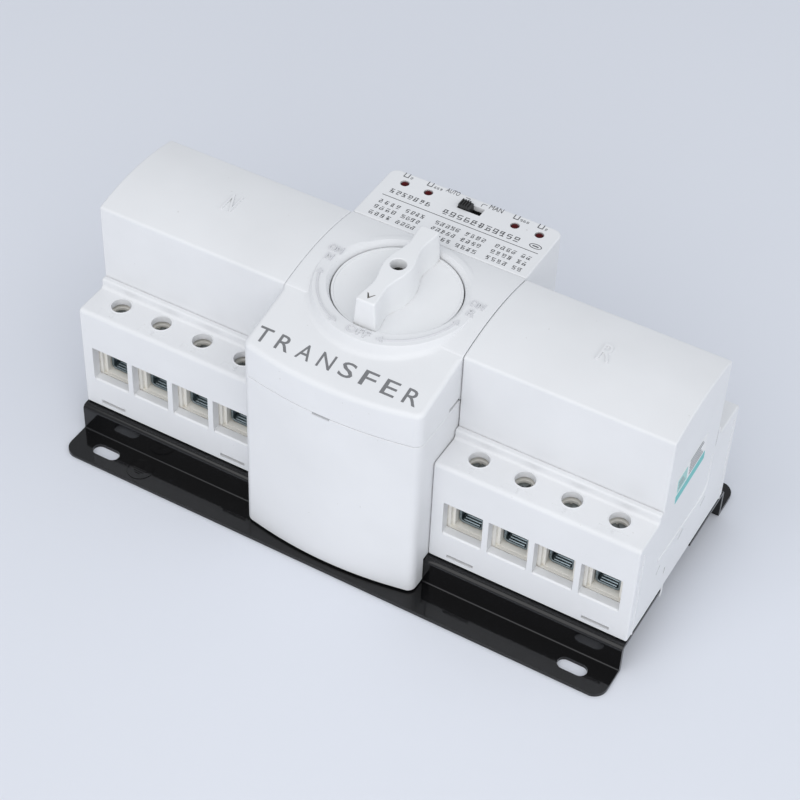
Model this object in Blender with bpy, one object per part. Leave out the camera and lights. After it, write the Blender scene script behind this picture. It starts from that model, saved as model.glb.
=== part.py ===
"""Motor-driven dual-power transfer switch with a hand knob, on a steel base plate.

Two four-pole switch units (n, left, and r, right) stand on a bent steel plate. The centre unit
between them holds the motor, the gear train and the knob. Turning the knob a quarter turn slides
one transfer bar sideways, which closes the contacts of one unit or of the other.

Units are metres. +X is right, +Y is back, +Z is up. The origin is the centre of the plate's
underside.
"""

import math

import bmesh
import bpy
from mathutils import Vector

GAP = 0.0003            # clearance between a piece and the neighbour that it rests on

# Base plate
PLATE_LENGTH = 0.2303
PLATE_DEPTH = 0.1184
PLATE_THICKNESS = 0.0015
PLATFORM_DEPTH = 0.0892
PLATFORM_TOP = 0.0134
PLATE_BEND = 0.0022
PLATE_CORNER = 0.0055
SLOT_X = 0.1002
SLOT_Y = 0.0516
SLOT_LENGTH = 0.0115
SLOT_WIDTH = 0.0055
NOTCH_DEPTH = 0.003
NOTCH_HALF_WIDTH = 0.013

# Switch units
POLES = 4
POLE_PITCH = 0.018
UNIT_INNER = 0.036
UNIT_OUTER = 0.11505
UNIT_HALF_DEPTH = 0.0417
SIDE_WALL = 0.0033
END_WALL = 0.0037
SHOULDER_TOP = 0.0609
SHOULDER_WALL = 0.0025
SHOULDER_ROUND = 0.002
LIP_TOP = 0.0647
LIP_FRONT = -0.0269
LIP_REAR = 0.0242
HOOD_FRONT = -0.0245
HOOD_REAR = 0.0218
HOOD_FRONT_TOP = 0.0973
HOOD_REAR_TOP = 0.0982
HOOD_CREST = 0.0028     # rise of the arch over its chord
HOOD_WALL = 0.002
WINDOW_HALF_WIDTH = 0.0079
WINDOW_BOTTOM = 0.0279
WINDOW_TOP = 0.0434
SCREW_Y = 0.03215
SCREW_HOLE = 0.0037
SLIT_Z = 0.0168
SLIT_HALF_LENGTH = 0.0054
SLIT_HEIGHT = 0.0014
SLIT_DEPTH = 0.0015

# Pole blocks, terminals and contacts, as distances from a pole's centre line
CAGE_HALF_WIDTH = 0.005
CAGE_FRONT = 0.0344
CAGE_BACK = 0.0244
CAGE_BOTTOM = 0.0289
CAGE_TOP = 0.0432
CAGE_WALL = 0.0011
CLAMP_SCREW_TOP = 0.057
CLAMP_SCREW_TIP = 0.0396
CLAMP_SCREW_HEAD = 0.0025
CLAMP_SCREW_HEAD_RADIUS = 0.0033
CLAMP_SCREW_RADIUS = 0.0019
WELL_CLEARANCE = 0.0003
CHAMBER_HALF_WIDTH = 0.0077
CHAMBER_HALF_DEPTH = 0.0133
CHAMBER_FLOOR = 0.024
STRIP_BOTTOM = 0.038
STRIP_THICKNESS = 0.0012
TAB_INNER = 0.00637
TAB_THICKNESS = 0.001
TAB_TOP = 0.0472
TAB_REACH = 0.006       # how far the fixed contacts stand from the unit's middle
CARRIER_FRONT = -0.0175
CARRIER_REAR = 0.006
FINGER_HALF_WIDTH = 0.001
FINGER_HALF_DEPTH = 0.0105
FINGER_BOTTOM = 0.033
PEG_Y = -0.015
PEG_RADIUS = 0.0015

# Centre unit
CENTRE_HALF_WIDTH = 0.0353
FRONT_CORNER_Y = -0.0528
FRONT_BULGE_Y = -0.0562
FRONT_CORNER_RADIUS = 0.003
SHELL_WALL = 0.0022
COVER_BOTTOM = 0.0022
CAP_BOTTOM = 0.0768
CAP_FRONT_TOP = 0.0915
CAP_SIDE_BACK = -0.0239
BOX_TOP = 0.0982
BOX_REAR = 0.052
BOX_CORNER_RADIUS = 0.0035
CHASSIS_WALL = 0.002
CHASSIS_FRONT = -0.042
CHASSIS_REAR = 0.0215
CHASSIS_TOP = 0.074
CHASSIS_FLOOR = 0.0025
DECK_LEDGE = 0.003
MOTOR_WINDOW_BOTTOM = 0.015   # foot of the opening that the motor reaches through
BEYOND = 0.05           # half width of a cut that runs clear across the centre unit

# Dial and knob
DIAL_X = 0.0
DIAL_Y = -0.00725
BOSS_TOP = 0.0983
BOSS_TOP_RADIUS = 0.0297
BOSS_FOOT_RADIUS = 0.0322
WELL_RADIUS = 0.0238
WELL_FLOOR = 0.0942
KNOB_RADIUS = 0.0234
KNOB_RIM_TOP = 0.098
KNOB_TOP = 0.110
KNOB_HALF_LENGTH = 0.0231
HUB_RADIUS = 0.0068
HUB_BOTTOM = 0.0885
KNOB_SCREW_SEAT = 0.1
KNOB_SCREW_TIP = 0.0915
KNOB_SCREW_RADIUS = 0.0013

# Drive train
SHAFT_RADIUS = 0.0025
SHAFT_TOP = 0.0962
RUNNING_CLEARANCE = 0.0001
RACK_MODULE = 0.0005
RACK_PINION_TEETH = 13
GEAR_MODULE = 0.0008
GEAR_TEETH = 48
PINION_TEETH = 12
TOOTH_OVERHANG = 0.0005
BAR_BOTTOM = 0.0625
BAR_TOP = 0.0675
BAR_WIDTH = 0.0085      # from its front edge to the rack's pitch line
BAR_WAY_FRONT = 0.013   # the openings that the bar slides through, from the dial's centre
BAR_WAY_REAR = 0.006
BAR_WAY_CLEARANCE = 0.001
GEAR_BOTTOM = 0.036
GEAR_THICKNESS = 0.006
DECK_BOTTOM = 0.0455
DECK_TOP = 0.0475
DECK_FRONT = -0.030
DECK_REAR = 0.0205
MOTOR_RADIUS = 0.013
MOTOR_TOP = 0.033
MOTOR_SHAFT_RADIUS = 0.0011
MOTOR_SHAFT_TOP = 0.0428

# Indicator lamps and mode switch
LAMP_XS = (-0.0274, -0.0174, 0.0186, 0.0286)
LAMP_Y = 0.046
LAMP_RADIUS = 0.0015
SLOT_LEFT = -0.0044
SLOT_RIGHT = 0.0051
SLOT_FRONT = 0.0439
SLOT_REAR = 0.0481
BOARD_BOTTOM = 0.086
BOARD_TOP = 0.0876
BOARD_FRONT = 0.0265
BOARD_REAR = 0.048
SLIDER_WIDTH = 0.0048
SLIDER_RIBS = 4
SLIDER_TOP = 0.1016
SLIDER_FOOT = 0.0925


# ---------------------------------------------------------------- scene, materials and meshes

def clear_scene():
    for obj in list(bpy.data.objects):
        bpy.data.objects.remove(obj, do_unlink=True)


def material(name, colour, roughness, metallic=0.0):
    made = bpy.data.materials.get(name)
    if made:
        return made
    made = bpy.data.materials.new(name)
    made.use_nodes = True
    shader = made.node_tree.nodes["Principled BSDF"]
    shader.inputs["Base Color"].default_value = (*colour, 1.0)
    shader.inputs["Roughness"].default_value = roughness
    shader.inputs["Metallic"].default_value = metallic
    return made


def white_plastic():
    return material("white_plastic", (0.80, 0.82, 0.84), 0.42)


def ivory_plastic():
    return material("ivory_plastic", (0.78, 0.74, 0.64), 0.5)


def black_paint():
    return material("black_paint", (0.015, 0.015, 0.017), 0.25)


def zinc_steel():
    return material("zinc_steel", (0.52, 0.54, 0.55), 0.35, 1.0)


def black_plastic():
    return material("black_plastic", (0.02, 0.02, 0.02), 0.45)


def natural_nylon():
    return material("natural_nylon", (0.72, 0.70, 0.62), 0.5)


def board_green():
    return material("board_green", (0.03, 0.20, 0.08), 0.4)


def red_lens():
    return material("red_lens", (0.18, 0.01, 0.02), 0.15)


def add_object(name, mesh, finish=None, location=(0.0, 0.0, 0.0), parent=None):
    obj = bpy.data.objects.new(name, mesh)
    obj.location = location
    bpy.context.scene.collection.objects.link(obj)
    if parent:
        obj.parent = parent
    if finish and not mesh.materials:
        mesh.materials.append(finish)
    return obj


def axis_empty(name, location):
    empty = bpy.data.objects.new(name, None)
    empty.location = location
    bpy.context.scene.collection.objects.link(empty)
    return empty


def new_mesh(name, bm):
    bmesh.ops.recalc_face_normals(bm, faces=bm.faces)
    mesh = bpy.data.meshes.new(name)
    bm.to_mesh(mesh)
    bm.free()
    return mesh


def round_shading(mesh, angle=30.0):
    mesh.shade_smooth()
    mesh.set_sharp_from_angle(angle=math.radians(angle))
    return mesh


def add_prism(bm, outline, axis, start, end):
    """Extrude a closed outline along axis: x takes (y, z), y takes (x, z), z takes (x, y)."""
    place = {
        "x": lambda a, b, along: (along, a, b),
        "y": lambda a, b, along: (a, along, b),
        "z": lambda a, b, along: (a, b, along),
    }[axis]
    low = [bm.verts.new(place(a, b, start)) for a, b in outline]
    high = [bm.verts.new(place(a, b, end)) for a, b in outline]
    count = len(outline)
    bm.faces.new(low)
    bm.faces.new(list(reversed(high)))
    for index in range(count):
        after = (index + 1) % count
        bm.faces.new((low[after], low[index], high[index], high[after]))


def add_box(bm, xs, ys, zs):
    x0, x1 = sorted(xs)
    y0, y1 = sorted(ys)
    add_prism(bm, [(x0, y0), (x1, y0), (x1, y1), (x0, y1)], "z", zs[0], zs[1])


def add_turned(bm, profile, centre=(0.0, 0.0), segments=48):
    """Turn a profile of (radius, z) points about the vertical through centre.

    The profile runs up one side and closes on the axis where its ends have radius 0."""
    rings = []
    for radius, z in profile:
        if radius == 0.0:
            rings.append([bm.verts.new((centre[0], centre[1], z))])
            continue
        ring = []
        for step in range(segments):
            angle = 2.0 * math.pi * step / segments
            ring.append(bm.verts.new((centre[0] + radius * math.cos(angle),
                                      centre[1] + radius * math.sin(angle), z)))
        rings.append(ring)
    if len(rings[0]) > 1:
        rings.append(rings[0])
    for lower, upper in zip(rings, rings[1:]):
        for step in range(segments):
            after = (step + 1) % segments
            corners = [lower[step % len(lower)], lower[after % len(lower)],
                       upper[after % len(upper)], upper[step % len(upper)]]
            corners = list(dict.fromkeys(corners))
            if len(corners) > 2:
                bm.faces.new(corners)


def add_rod(bm, x, y, radius, z0, z1, segments=24):
    add_turned(bm, [(0.0, z0), (radius, z0), (radius, z1), (0.0, z1)], (x, y), segments)


def prism(name, outline, axis, start, end):
    bm = bmesh.new()
    add_prism(bm, outline, axis, start, end)
    return new_mesh(name, bm)


def turned(name, profile, segments=48):
    bm = bmesh.new()
    add_turned(bm, profile, segments=segments)
    return round_shading(new_mesh(name, bm))


def boxes(name, *sizes):
    """One mesh of separate boxes, each given as (xs, ys, zs)."""
    bm = bmesh.new()
    for xs, ys, zs in sizes:
        add_box(bm, xs, ys, zs)
    return new_mesh(name, bm)


def combine(mesh, tool, operation):
    """Return mesh after an exact Boolean with tool, which is used up."""
    target = add_object("boolean_target", mesh)
    cutter = add_object("boolean_tool", tool)
    modifier = target.modifiers.new("boolean", "BOOLEAN")
    modifier.operation = operation
    modifier.solver = "EXACT"
    modifier.object = cutter
    bpy.context.view_layer.update()
    evaluated = target.evaluated_get(bpy.context.evaluated_depsgraph_get())
    result = bpy.data.meshes.new_from_object(evaluated)
    result.name = mesh.name
    bpy.data.objects.remove(target, do_unlink=True)
    bpy.data.objects.remove(cutter, do_unlink=True)
    bpy.data.meshes.remove(mesh)
    bpy.data.meshes.remove(tool)
    return result


def cut(mesh, *tools):
    for tool in tools:
        mesh = combine(mesh, tool, "DIFFERENCE")
    return mesh


def join(mesh, *tools):
    for tool in tools:
        mesh = combine(mesh, tool, "UNION")
    return mesh


def arc(centre, radius, start, end, steps):
    """Points on an arc, angles in degrees."""
    points = []
    for step in range(steps + 1):
        angle = math.radians(start + (end - start) * step / steps)
        points.append((centre[0] + radius * math.cos(angle), centre[1] + radius * math.sin(angle)))
    return points


def crowned_line(start, end, rise, steps):
    """Points on the arc from start to end whose middle stands rise above the chord (-Y or +Z)."""
    chord = Vector(end) - Vector(start)
    across = Vector((-chord.y, chord.x)).normalized()
    radius = (chord.length ** 2 / 4.0 + rise ** 2) / (2.0 * rise)
    middle = (Vector(start) + Vector(end)) / 2.0
    centre = middle + across * (rise - radius)
    half_angle = math.asin(chord.length / 2.0 / radius)
    points = []
    for step in range(steps + 1):
        turn = half_angle * (1.0 - 2.0 * step / steps)
        direction = across * math.cos(turn) - chord.normalized() * math.sin(turn)
        points.append(tuple(centre + direction * radius))
    return points


# ---------------------------------------------------------------- base plate

def hat_section():
    """Outline in (y, z) of the bent plate: two flanges, two walls and a platform."""
    wall = PLATFORM_DEPTH / 2.0
    edge = PLATE_DEPTH / 2.0
    inner = wall - PLATE_THICKNESS
    top = PLATFORM_TOP
    right = [(edge, 0.0), (edge, PLATE_THICKNESS), (wall, PLATE_THICKNESS)]
    right += arc((wall - PLATE_BEND, top - PLATE_BEND), PLATE_BEND, 0.0, 90.0, 4)
    left = [(-y, z) for y, z in reversed(right)]
    inside = [(-inner, 0.0), (-inner, top - PLATE_THICKNESS),
              (inner, top - PLATE_THICKNESS), (inner, 0.0)]
    return right + left + inside


def slot_outline(x, y):
    reach = (SLOT_LENGTH - SLOT_WIDTH) / 2.0
    radius = SLOT_WIDTH / 2.0
    return arc((x + reach, y), radius, -90.0, 90.0, 8) + arc((x - reach, y), radius, 90.0, 270.0, 8)


def corner_waste(side_x, side_y):
    """The sliver outside a rounded flange corner."""
    corner = (side_x * PLATE_LENGTH / 2.0, side_y * PLATE_DEPTH / 2.0)
    centre = (corner[0] - side_x * PLATE_CORNER, corner[1] - side_y * PLATE_CORNER)
    spare = 0.001
    points = [(centre[0] + side_x * PLATE_CORNER * math.cos(math.radians(turn)),
               centre[1] + side_y * PLATE_CORNER * math.sin(math.radians(turn)))
              for turn in range(0, 91, 15)]
    return points + [(points[-1][0], corner[1] + side_y * spare),
                     (corner[0] + side_x * spare, corner[1] + side_y * spare),
                     (corner[0] + side_x * spare, points[0][1])]


def make_base_plate():
    half = PLATE_LENGTH / 2.0
    mesh = prism("base_plate", hat_section(), "x", -half, half)
    bm = bmesh.new()
    for side_x in (-1, 1):
        for side_y in (-1, 1):
            slot = slot_outline(side_x * SLOT_X, side_y * SLOT_Y)
            add_prism(bm, slot, "z", -PLATE_THICKNESS, 2.0 * PLATE_THICKNESS)
            add_prism(bm, corner_waste(side_x, side_y), "z", -PLATE_THICKNESS,
                      2.0 * PLATE_THICKNESS)
        add_box(bm, (side_x * (half - NOTCH_DEPTH), side_x * (half + NOTCH_DEPTH)),
                (-NOTCH_HALF_WIDTH, NOTCH_HALF_WIDTH), (PLATFORM_TOP / 2.0, PLATFORM_TOP * 1.5))
    mesh = cut(mesh, new_mesh("plate_cuts", bm))
    return add_object("base_plate", round_shading(mesh, 35.0), black_paint())


# ---------------------------------------------------------------- switch units

def pole_centres(side):
    """X of each pole, from left to right; side is -1 for the n unit and 1 for the r unit."""
    middle = side * (UNIT_INNER + UNIT_OUTER) / 2.0
    return [middle + (index - (POLES - 1) / 2.0) * POLE_PITCH for index in range(POLES)]


def hood_arch(inset):
    """Points (y, z) along a hood's arch, or along its inside when inset is its wall."""
    return crowned_line((HOOD_FRONT + inset, HOOD_FRONT_TOP - inset),
                        (HOOD_REAR - inset, HOOD_REAR_TOP - inset), HOOD_CREST, 12)


def foot_to_lip(lip_y):
    """Points (y, z) from the foot of an end wall up over its shoulder to the lip."""
    side = math.copysign(1.0, lip_y)
    end = UNIT_HALF_DEPTH
    bend = arc((end - SHOULDER_ROUND, SHOULDER_TOP - SHOULDER_ROUND), SHOULDER_ROUND, 0.0, 90.0, 4)
    lip = abs(lip_y)
    fillet = arc((lip + SHOULDER_ROUND, SHOULDER_TOP + SHOULDER_ROUND), SHOULDER_ROUND,
                 270.0, 180.0, 3)
    half = [(end, PLATFORM_TOP + GAP)] + bend + fillet + [(lip, LIP_TOP)]
    return [(side * y, z) for y, z in half]


def add_bar_way(bm, x0, x1):
    """Opening in an upright wall that the transfer bar slides through."""
    add_box(bm, (x0, x1), (DIAL_Y - BAR_WAY_FRONT, DIAL_Y + BAR_WAY_REAR),
            (BAR_BOTTOM - BAR_WAY_CLEARANCE, BAR_TOP + BAR_WAY_CLEARANCE))


def make_enclosure(side, name):
    """White shell of a switch unit: end walls with windows, shoulders, lip and arched hood."""
    ends = sorted((side * UNIT_INNER, side * UNIT_OUTER))
    front = foot_to_lip(LIP_FRONT) + [(HOOD_FRONT, LIP_TOP)]
    rear = foot_to_lip(LIP_REAR) + [(HOOD_REAR, LIP_TOP)]
    outline = front + hood_arch(0.0) + list(reversed(rear))
    mesh = prism(name, outline, "x", ends[0], ends[1])

    inside = UNIT_HALF_DEPTH - END_WALL
    ceiling = SHOULDER_TOP - SHOULDER_WALL
    arch = hood_arch(HOOD_WALL)
    hollow = [(-inside, 0.0), (-inside, ceiling), (arch[0][0], ceiling)] + arch
    hollow += [(arch[-1][0], ceiling), (inside, ceiling), (inside, 0.0)]
    mesh = cut(mesh, prism("hollow", hollow, "x", ends[0] + SIDE_WALL, ends[1] - SIDE_WALL))

    bm = bmesh.new()
    for pole, x in enumerate(pole_centres(side)):
        for facing in (-1, 1):
            face = facing * UNIT_HALF_DEPTH
            add_box(bm, (x - WINDOW_HALF_WIDTH, x + WINDOW_HALF_WIDTH),
                    (face - facing * 1.5 * END_WALL, face + facing * END_WALL),
                    (WINDOW_BOTTOM, WINDOW_TOP))
            add_rod(bm, x, facing * SCREW_Y, SCREW_HOLE, SHOULDER_TOP - 2.0 * SHOULDER_WALL,
                    SHOULDER_TOP + SHOULDER_WALL, 16)
            if pole in (0, POLES - 1):
                add_box(bm, (x - SLIT_HALF_LENGTH, x + SLIT_HALF_LENGTH),
                        (face - facing * SLIT_DEPTH, face + facing * SLIT_DEPTH),
                        (SLIT_Z - SLIT_HEIGHT / 2.0, SLIT_Z + SLIT_HEIGHT / 2.0))
    wall = side * UNIT_INNER
    add_bar_way(bm, wall - side * SIDE_WALL, wall + side * 1.5 * SIDE_WALL)
    mesh = cut(mesh, new_mesh("openings", bm))
    return add_object(name, round_shading(mesh, 25.0), white_plastic())


def make_pole_block(side, name):
    """Ivory insulator of four poles, with terminal pockets, screw wells and contact chambers."""
    middle = side * (UNIT_INNER + UNIT_OUTER) / 2.0
    half = (UNIT_OUTER - UNIT_INNER) / 2.0 - SIDE_WALL - GAP
    low = UNIT_HALF_DEPTH - END_WALL - GAP
    top = SHOULDER_TOP - SHOULDER_WALL - GAP
    mesh = boxes(name, ((middle - half, middle + half), (-low, low), (PLATFORM_TOP + GAP, top)))

    sill = WINDOW_BOTTOM + GAP
    ledge = 0.001
    pocket = CAGE_HALF_WIDTH + GAP
    pockets, recesses, wells, strip_slots = (bmesh.new() for _ in range(4))
    for x in pole_centres(side):
        for facing in (-1, 1):
            outside = facing * low * 1.1
            mouth = [(outside, sill), (facing * (low - ledge), sill),
                     (facing * (CAGE_FRONT + GAP), CAGE_BOTTOM - GAP),
                     (facing * (CAGE_BACK - GAP), CAGE_BOTTOM - GAP),
                     (facing * (CAGE_BACK - GAP), CAGE_TOP + GAP),
                     (outside, CAGE_TOP + GAP)]
            add_prism(pockets, mouth, "x", x - pocket, x + pocket)
            add_box(recesses, (x - WINDOW_HALF_WIDTH + ledge, x + WINDOW_HALF_WIDTH - ledge),
                    (facing * (CAGE_FRONT + 1.5 * ledge), outside), (sill, CAGE_TOP))
            add_rod(wells, x, facing * SCREW_Y, SCREW_HOLE - WELL_CLEARANCE, CAGE_TOP - ledge,
                    top * 1.1, 10)
            add_box(strip_slots, (x + side * CAGE_HALF_WIDTH * 0.5, x + side * CHAMBER_HALF_WIDTH),
                    (facing * (CHAMBER_HALF_DEPTH - ledge), facing * (CAGE_BACK + ledge)),
                    strip_heights(GAP))
        add_box(wells, (x - CHAMBER_HALF_WIDTH, x + CHAMBER_HALF_WIDTH),
                (-CHAMBER_HALF_DEPTH, CHAMBER_HALF_DEPTH), (CHAMBER_FLOOR, top * 1.1))
    mesh = cut(mesh, new_mesh("pockets", pockets), new_mesh("recesses", recesses),
               new_mesh("wells", wells), new_mesh("strip_slots", strip_slots))
    return add_object(name, mesh, ivory_plastic())


def strip_heights(clearance):
    """Lowest and highest z of a contact strip, or of the slot around it."""
    return (STRIP_BOTTOM - clearance, STRIP_BOTTOM + STRIP_THICKNESS + clearance)


def terminal_mesh(side, facing):
    """Box clamp with a ridged floor, its contact strip and the upright contact tab.

    It is modelled about its pole's centre line. facing is -1 at the front and 1 at the rear."""
    name = "terminal_%s_%s" % ("n" if side < 0 else "r", "front" if facing < 0 else "rear")
    front = facing * CAGE_FRONT
    back = facing * CAGE_BACK
    inner = CAGE_HALF_WIDTH - CAGE_WALL
    strip_z = strip_heights(0.0)
    mesh = boxes(name, ((-CAGE_HALF_WIDTH, CAGE_HALF_WIDTH), (front, back),
                        (CAGE_BOTTOM, CAGE_TOP)))
    bore = [(-inner, CAGE_TOP - CAGE_WALL), (-inner, CAGE_BOTTOM + 2.0 * CAGE_WALL),
            (-inner + CAGE_WALL, CAGE_BOTTOM + CAGE_WALL),
            (inner - CAGE_WALL, CAGE_BOTTOM + CAGE_WALL),
            (inner, CAGE_BOTTOM + 2.0 * CAGE_WALL), (inner, CAGE_TOP - CAGE_WALL)]
    mesh = cut(mesh, prism("clamp_bore", bore, "y", front * 1.1, back * 0.9))

    hole = bmesh.new()
    add_rod(hole, 0.0, facing * SCREW_Y, CLAMP_SCREW_RADIUS + 2.0 * RUNNING_CLEARANCE,
            CAGE_TOP - 2.0 * CAGE_WALL, CAGE_TOP + CAGE_WALL, 10)
    mesh = cut(mesh, new_mesh("clamp_thread", hole))

    ridge_pitch = 0.0022
    ridge_half_width = 0.0005
    ridge_height = 0.0003
    floor = CAGE_BOTTOM + CAGE_WALL
    reach = inner - 1.2 * CAGE_WALL
    for index in range(3):
        middle = front - facing * ridge_pitch * (index + 0.75)
        ridge = [(middle - ridge_half_width, floor - ridge_height),
                 (middle + ridge_half_width, floor - ridge_height), (middle, floor + ridge_height)]
        mesh = join(mesh, prism("ridge", ridge, "x", -reach, reach))

    tab = side * (TAB_INNER + TAB_THICKNESS)
    chamber = facing * (CHAMBER_HALF_DEPTH - GAP)
    strip = boxes("strip", ((side * (CAGE_HALF_WIDTH - CAGE_WALL / 2.0), tab),
                            (facing * (CAGE_BACK + 0.0005), chamber - facing * TAB_THICKNESS),
                            strip_z))
    mesh = join(mesh, strip)
    upright = boxes("tab", ((side * TAB_INNER, tab), (chamber, facing * TAB_REACH),
                            (strip_z[0] - 2.0 * TAB_THICKNESS, TAB_TOP)))
    return join(mesh, upright)


def clamp_screw_mesh():
    """Slotted clamp screw about its own axis, with its head at the top."""
    head = CLAMP_SCREW_HEAD_RADIUS
    shank = CLAMP_SCREW_RADIUS
    shoulder = CLAMP_SCREW_TOP - CLAMP_SCREW_HEAD
    profile = [(0.0, CLAMP_SCREW_TIP), (shank, CLAMP_SCREW_TIP), (shank, shoulder),
               (head, shoulder), (head, CLAMP_SCREW_TOP), (0.0, CLAMP_SCREW_TOP)]
    mesh = turned("clamp_screw", profile, 10)
    slot_half_width = 0.0005
    slot_depth = 0.001
    slot = boxes("slot", ((-slot_half_width, slot_half_width), (-1.2 * head, 1.2 * head),
                          (CLAMP_SCREW_TOP - slot_depth, CLAMP_SCREW_TOP + slot_depth)))
    return round_shading(cut(mesh, slot))


def make_terminals(side, letter, screw_mesh):
    for facing, row in ((-1, "front"), (1, "rear")):
        mesh = terminal_mesh(side, facing)
        for index, x in enumerate(pole_centres(side)):
            number = index + 1
            add_object("%s_%s_terminal_%d" % (letter, row, number), mesh, zinc_steel(),
                       (x, 0.0, 0.0))
            add_object("%s_%s_screw_%d" % (letter, row, number), screw_mesh, zinc_steel(),
                       (x, facing * SCREW_Y, 0.0))


# ---------------------------------------------------------------- contact carriers, transfer bar

def peg_places(side):
    """X of the two pegs that tie a contact carrier to the transfer bar."""
    near = min(pole_centres(side), key=abs)
    return [near + side * 0.003, near + side * 0.013]


def make_contact_carrier(side, name, parent):
    """Comb of four bridging contact plates, hung from a bar over the pole chambers."""
    centres = pole_centres(side)
    ends = (centres[0] - 2.5 * FINGER_HALF_WIDTH, centres[-1] + 2.5 * FINGER_HALF_WIDTH)
    bottom = SHOULDER_TOP - SHOULDER_WALL + GAP
    top = BAR_BOTTOM - GAP
    mesh = boxes(name, (ends, (CARRIER_FRONT, CARRIER_REAR), (bottom, top)))
    fingers = bmesh.new()
    for x in centres:
        add_box(fingers, (x - FINGER_HALF_WIDTH, x + FINGER_HALF_WIDTH),
                (-FINGER_HALF_DEPTH, FINGER_HALF_DEPTH), (FINGER_BOTTOM, (bottom + top) / 2.0))
    mesh = join(mesh, new_mesh("fingers", fingers))
    pegs = bmesh.new()
    for x in peg_places(side):
        add_rod(pegs, x, PEG_Y, PEG_RADIUS, (bottom + top) / 2.0, BAR_TOP - GAP, 16)
    mesh = join(mesh, new_mesh("pegs", pegs))
    obj = add_object(name, mesh, natural_nylon(), parent=parent)
    obj.location = Vector((0.0, 0.0, 0.0)) - parent.location
    return obj


def rack_pinion_radius():
    return RACK_MODULE * RACK_PINION_TEETH / 2.0


def make_transfer_bar(parent):
    """Bar across both units, with the rack that the shaft's pinion drives."""
    pitch_y = DIAL_Y - rack_pinion_radius()
    root_y = pitch_y - 1.25 * RACK_MODULE
    tip_y = pitch_y + 0.8 * RACK_MODULE
    front_y = pitch_y - BAR_WIDTH
    reach = max(abs(x) for side in (-1, 1) for x in peg_places(side)) + 2.0 * PEG_RADIUS
    pitch = math.pi * RACK_MODULE
    outline = [(-reach, front_y), (reach, front_y), (reach, root_y)]
    for index in range(6, -7, -1):
        middle = (index + 0.5) * pitch
        outline += [(middle + 0.36 * pitch, root_y), (middle + 0.10 * pitch, tip_y),
                    (middle - 0.10 * pitch, tip_y), (middle - 0.36 * pitch, root_y)]
    outline += [(-reach, root_y)]
    mesh = prism("transfer_bar", outline, "z", BAR_BOTTOM, BAR_TOP)
    holes = bmesh.new()
    for side in (-1, 1):
        for x in peg_places(side):
            add_rod(holes, x, PEG_Y, PEG_RADIUS + RUNNING_CLEARANCE, BAR_BOTTOM - PEG_RADIUS,
                    BAR_TOP + PEG_RADIUS, 16)
    mesh = cut(mesh, new_mesh("peg_holes", holes))
    obj = add_object("transfer_bar", mesh, natural_nylon(), parent=parent)
    obj.location = Vector((0.0, 0.0, 0.0)) - parent.location
    return obj


# ---------------------------------------------------------------- centre unit

def centre_front_outline(inset, back_y):
    """Outline in (x, y) of the bulged front, its rounded corners and the sides back to back_y."""
    half = CENTRE_HALF_WIDTH - inset
    radius = FRONT_CORNER_RADIUS - inset / 2.0
    corner_y = FRONT_CORNER_Y + inset
    bulge = crowned_line((half - radius, corner_y), (-half + radius, corner_y),
                         FRONT_CORNER_Y - FRONT_BULGE_Y, 10)
    left = arc((-half + radius, corner_y + radius), radius, 255.0, 180.0, 4)
    right = [(-x, y) for x, y in reversed(left)]
    return [(half, back_y)] + right + bulge[1:-1] + left + [(-half, back_y)]


def make_front_cover():
    """White cover over the front of the centre unit, hanging in front of the base plate."""
    top = CAP_BOTTOM - GAP
    back = CAP_SIDE_BACK
    mesh = prism("front_cover", centre_front_outline(0.0, back), "z", COVER_BOTTOM, top)
    inside = prism("cover_inside", centre_front_outline(SHELL_WALL, back + SHELL_WALL), "z",
                   -BEYOND, top + BEYOND)
    wall = -PLATFORM_DEPTH / 2.0 - GAP
    foot = boxes("cover_foot", ((-BEYOND, BEYOND), (wall, 0.0), (-BEYOND, PLATFORM_TOP + GAP)))
    mesh = cut(mesh, inside, foot)
    return add_object("front_cover", round_shading(mesh, 25.0), white_plastic())


def cap_section(inset):
    """Outline in (y, z) of the cap's side view: sloping front top, ridge, arch and rear."""
    roof = crowned_line((HOOD_FRONT, HOOD_FRONT_TOP - inset),
                        (HOOD_REAR, HOOD_REAR_TOP - inset), HOOD_CREST, 12)
    front = FRONT_BULGE_Y - SHELL_WALL
    slope = (HOOD_FRONT_TOP - CAP_FRONT_TOP) / (HOOD_FRONT - FRONT_CORNER_Y)
    front_top = HOOD_FRONT_TOP - inset + slope * (front - HOOD_FRONT)
    return [(front, CAP_BOTTOM - inset), (front, front_top)] + roof + [
        (HOOD_REAR, CAP_BOTTOM - inset)]


def boss_limit(rear):
    """Block that keeps the boss inside the cap's outline."""
    return prism("boss_limit", centre_front_outline(SHELL_WALL / 2.0, rear - SHELL_WALL / 2.0),
                 "z", CAP_BOTTOM, KNOB_TOP)


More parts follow.
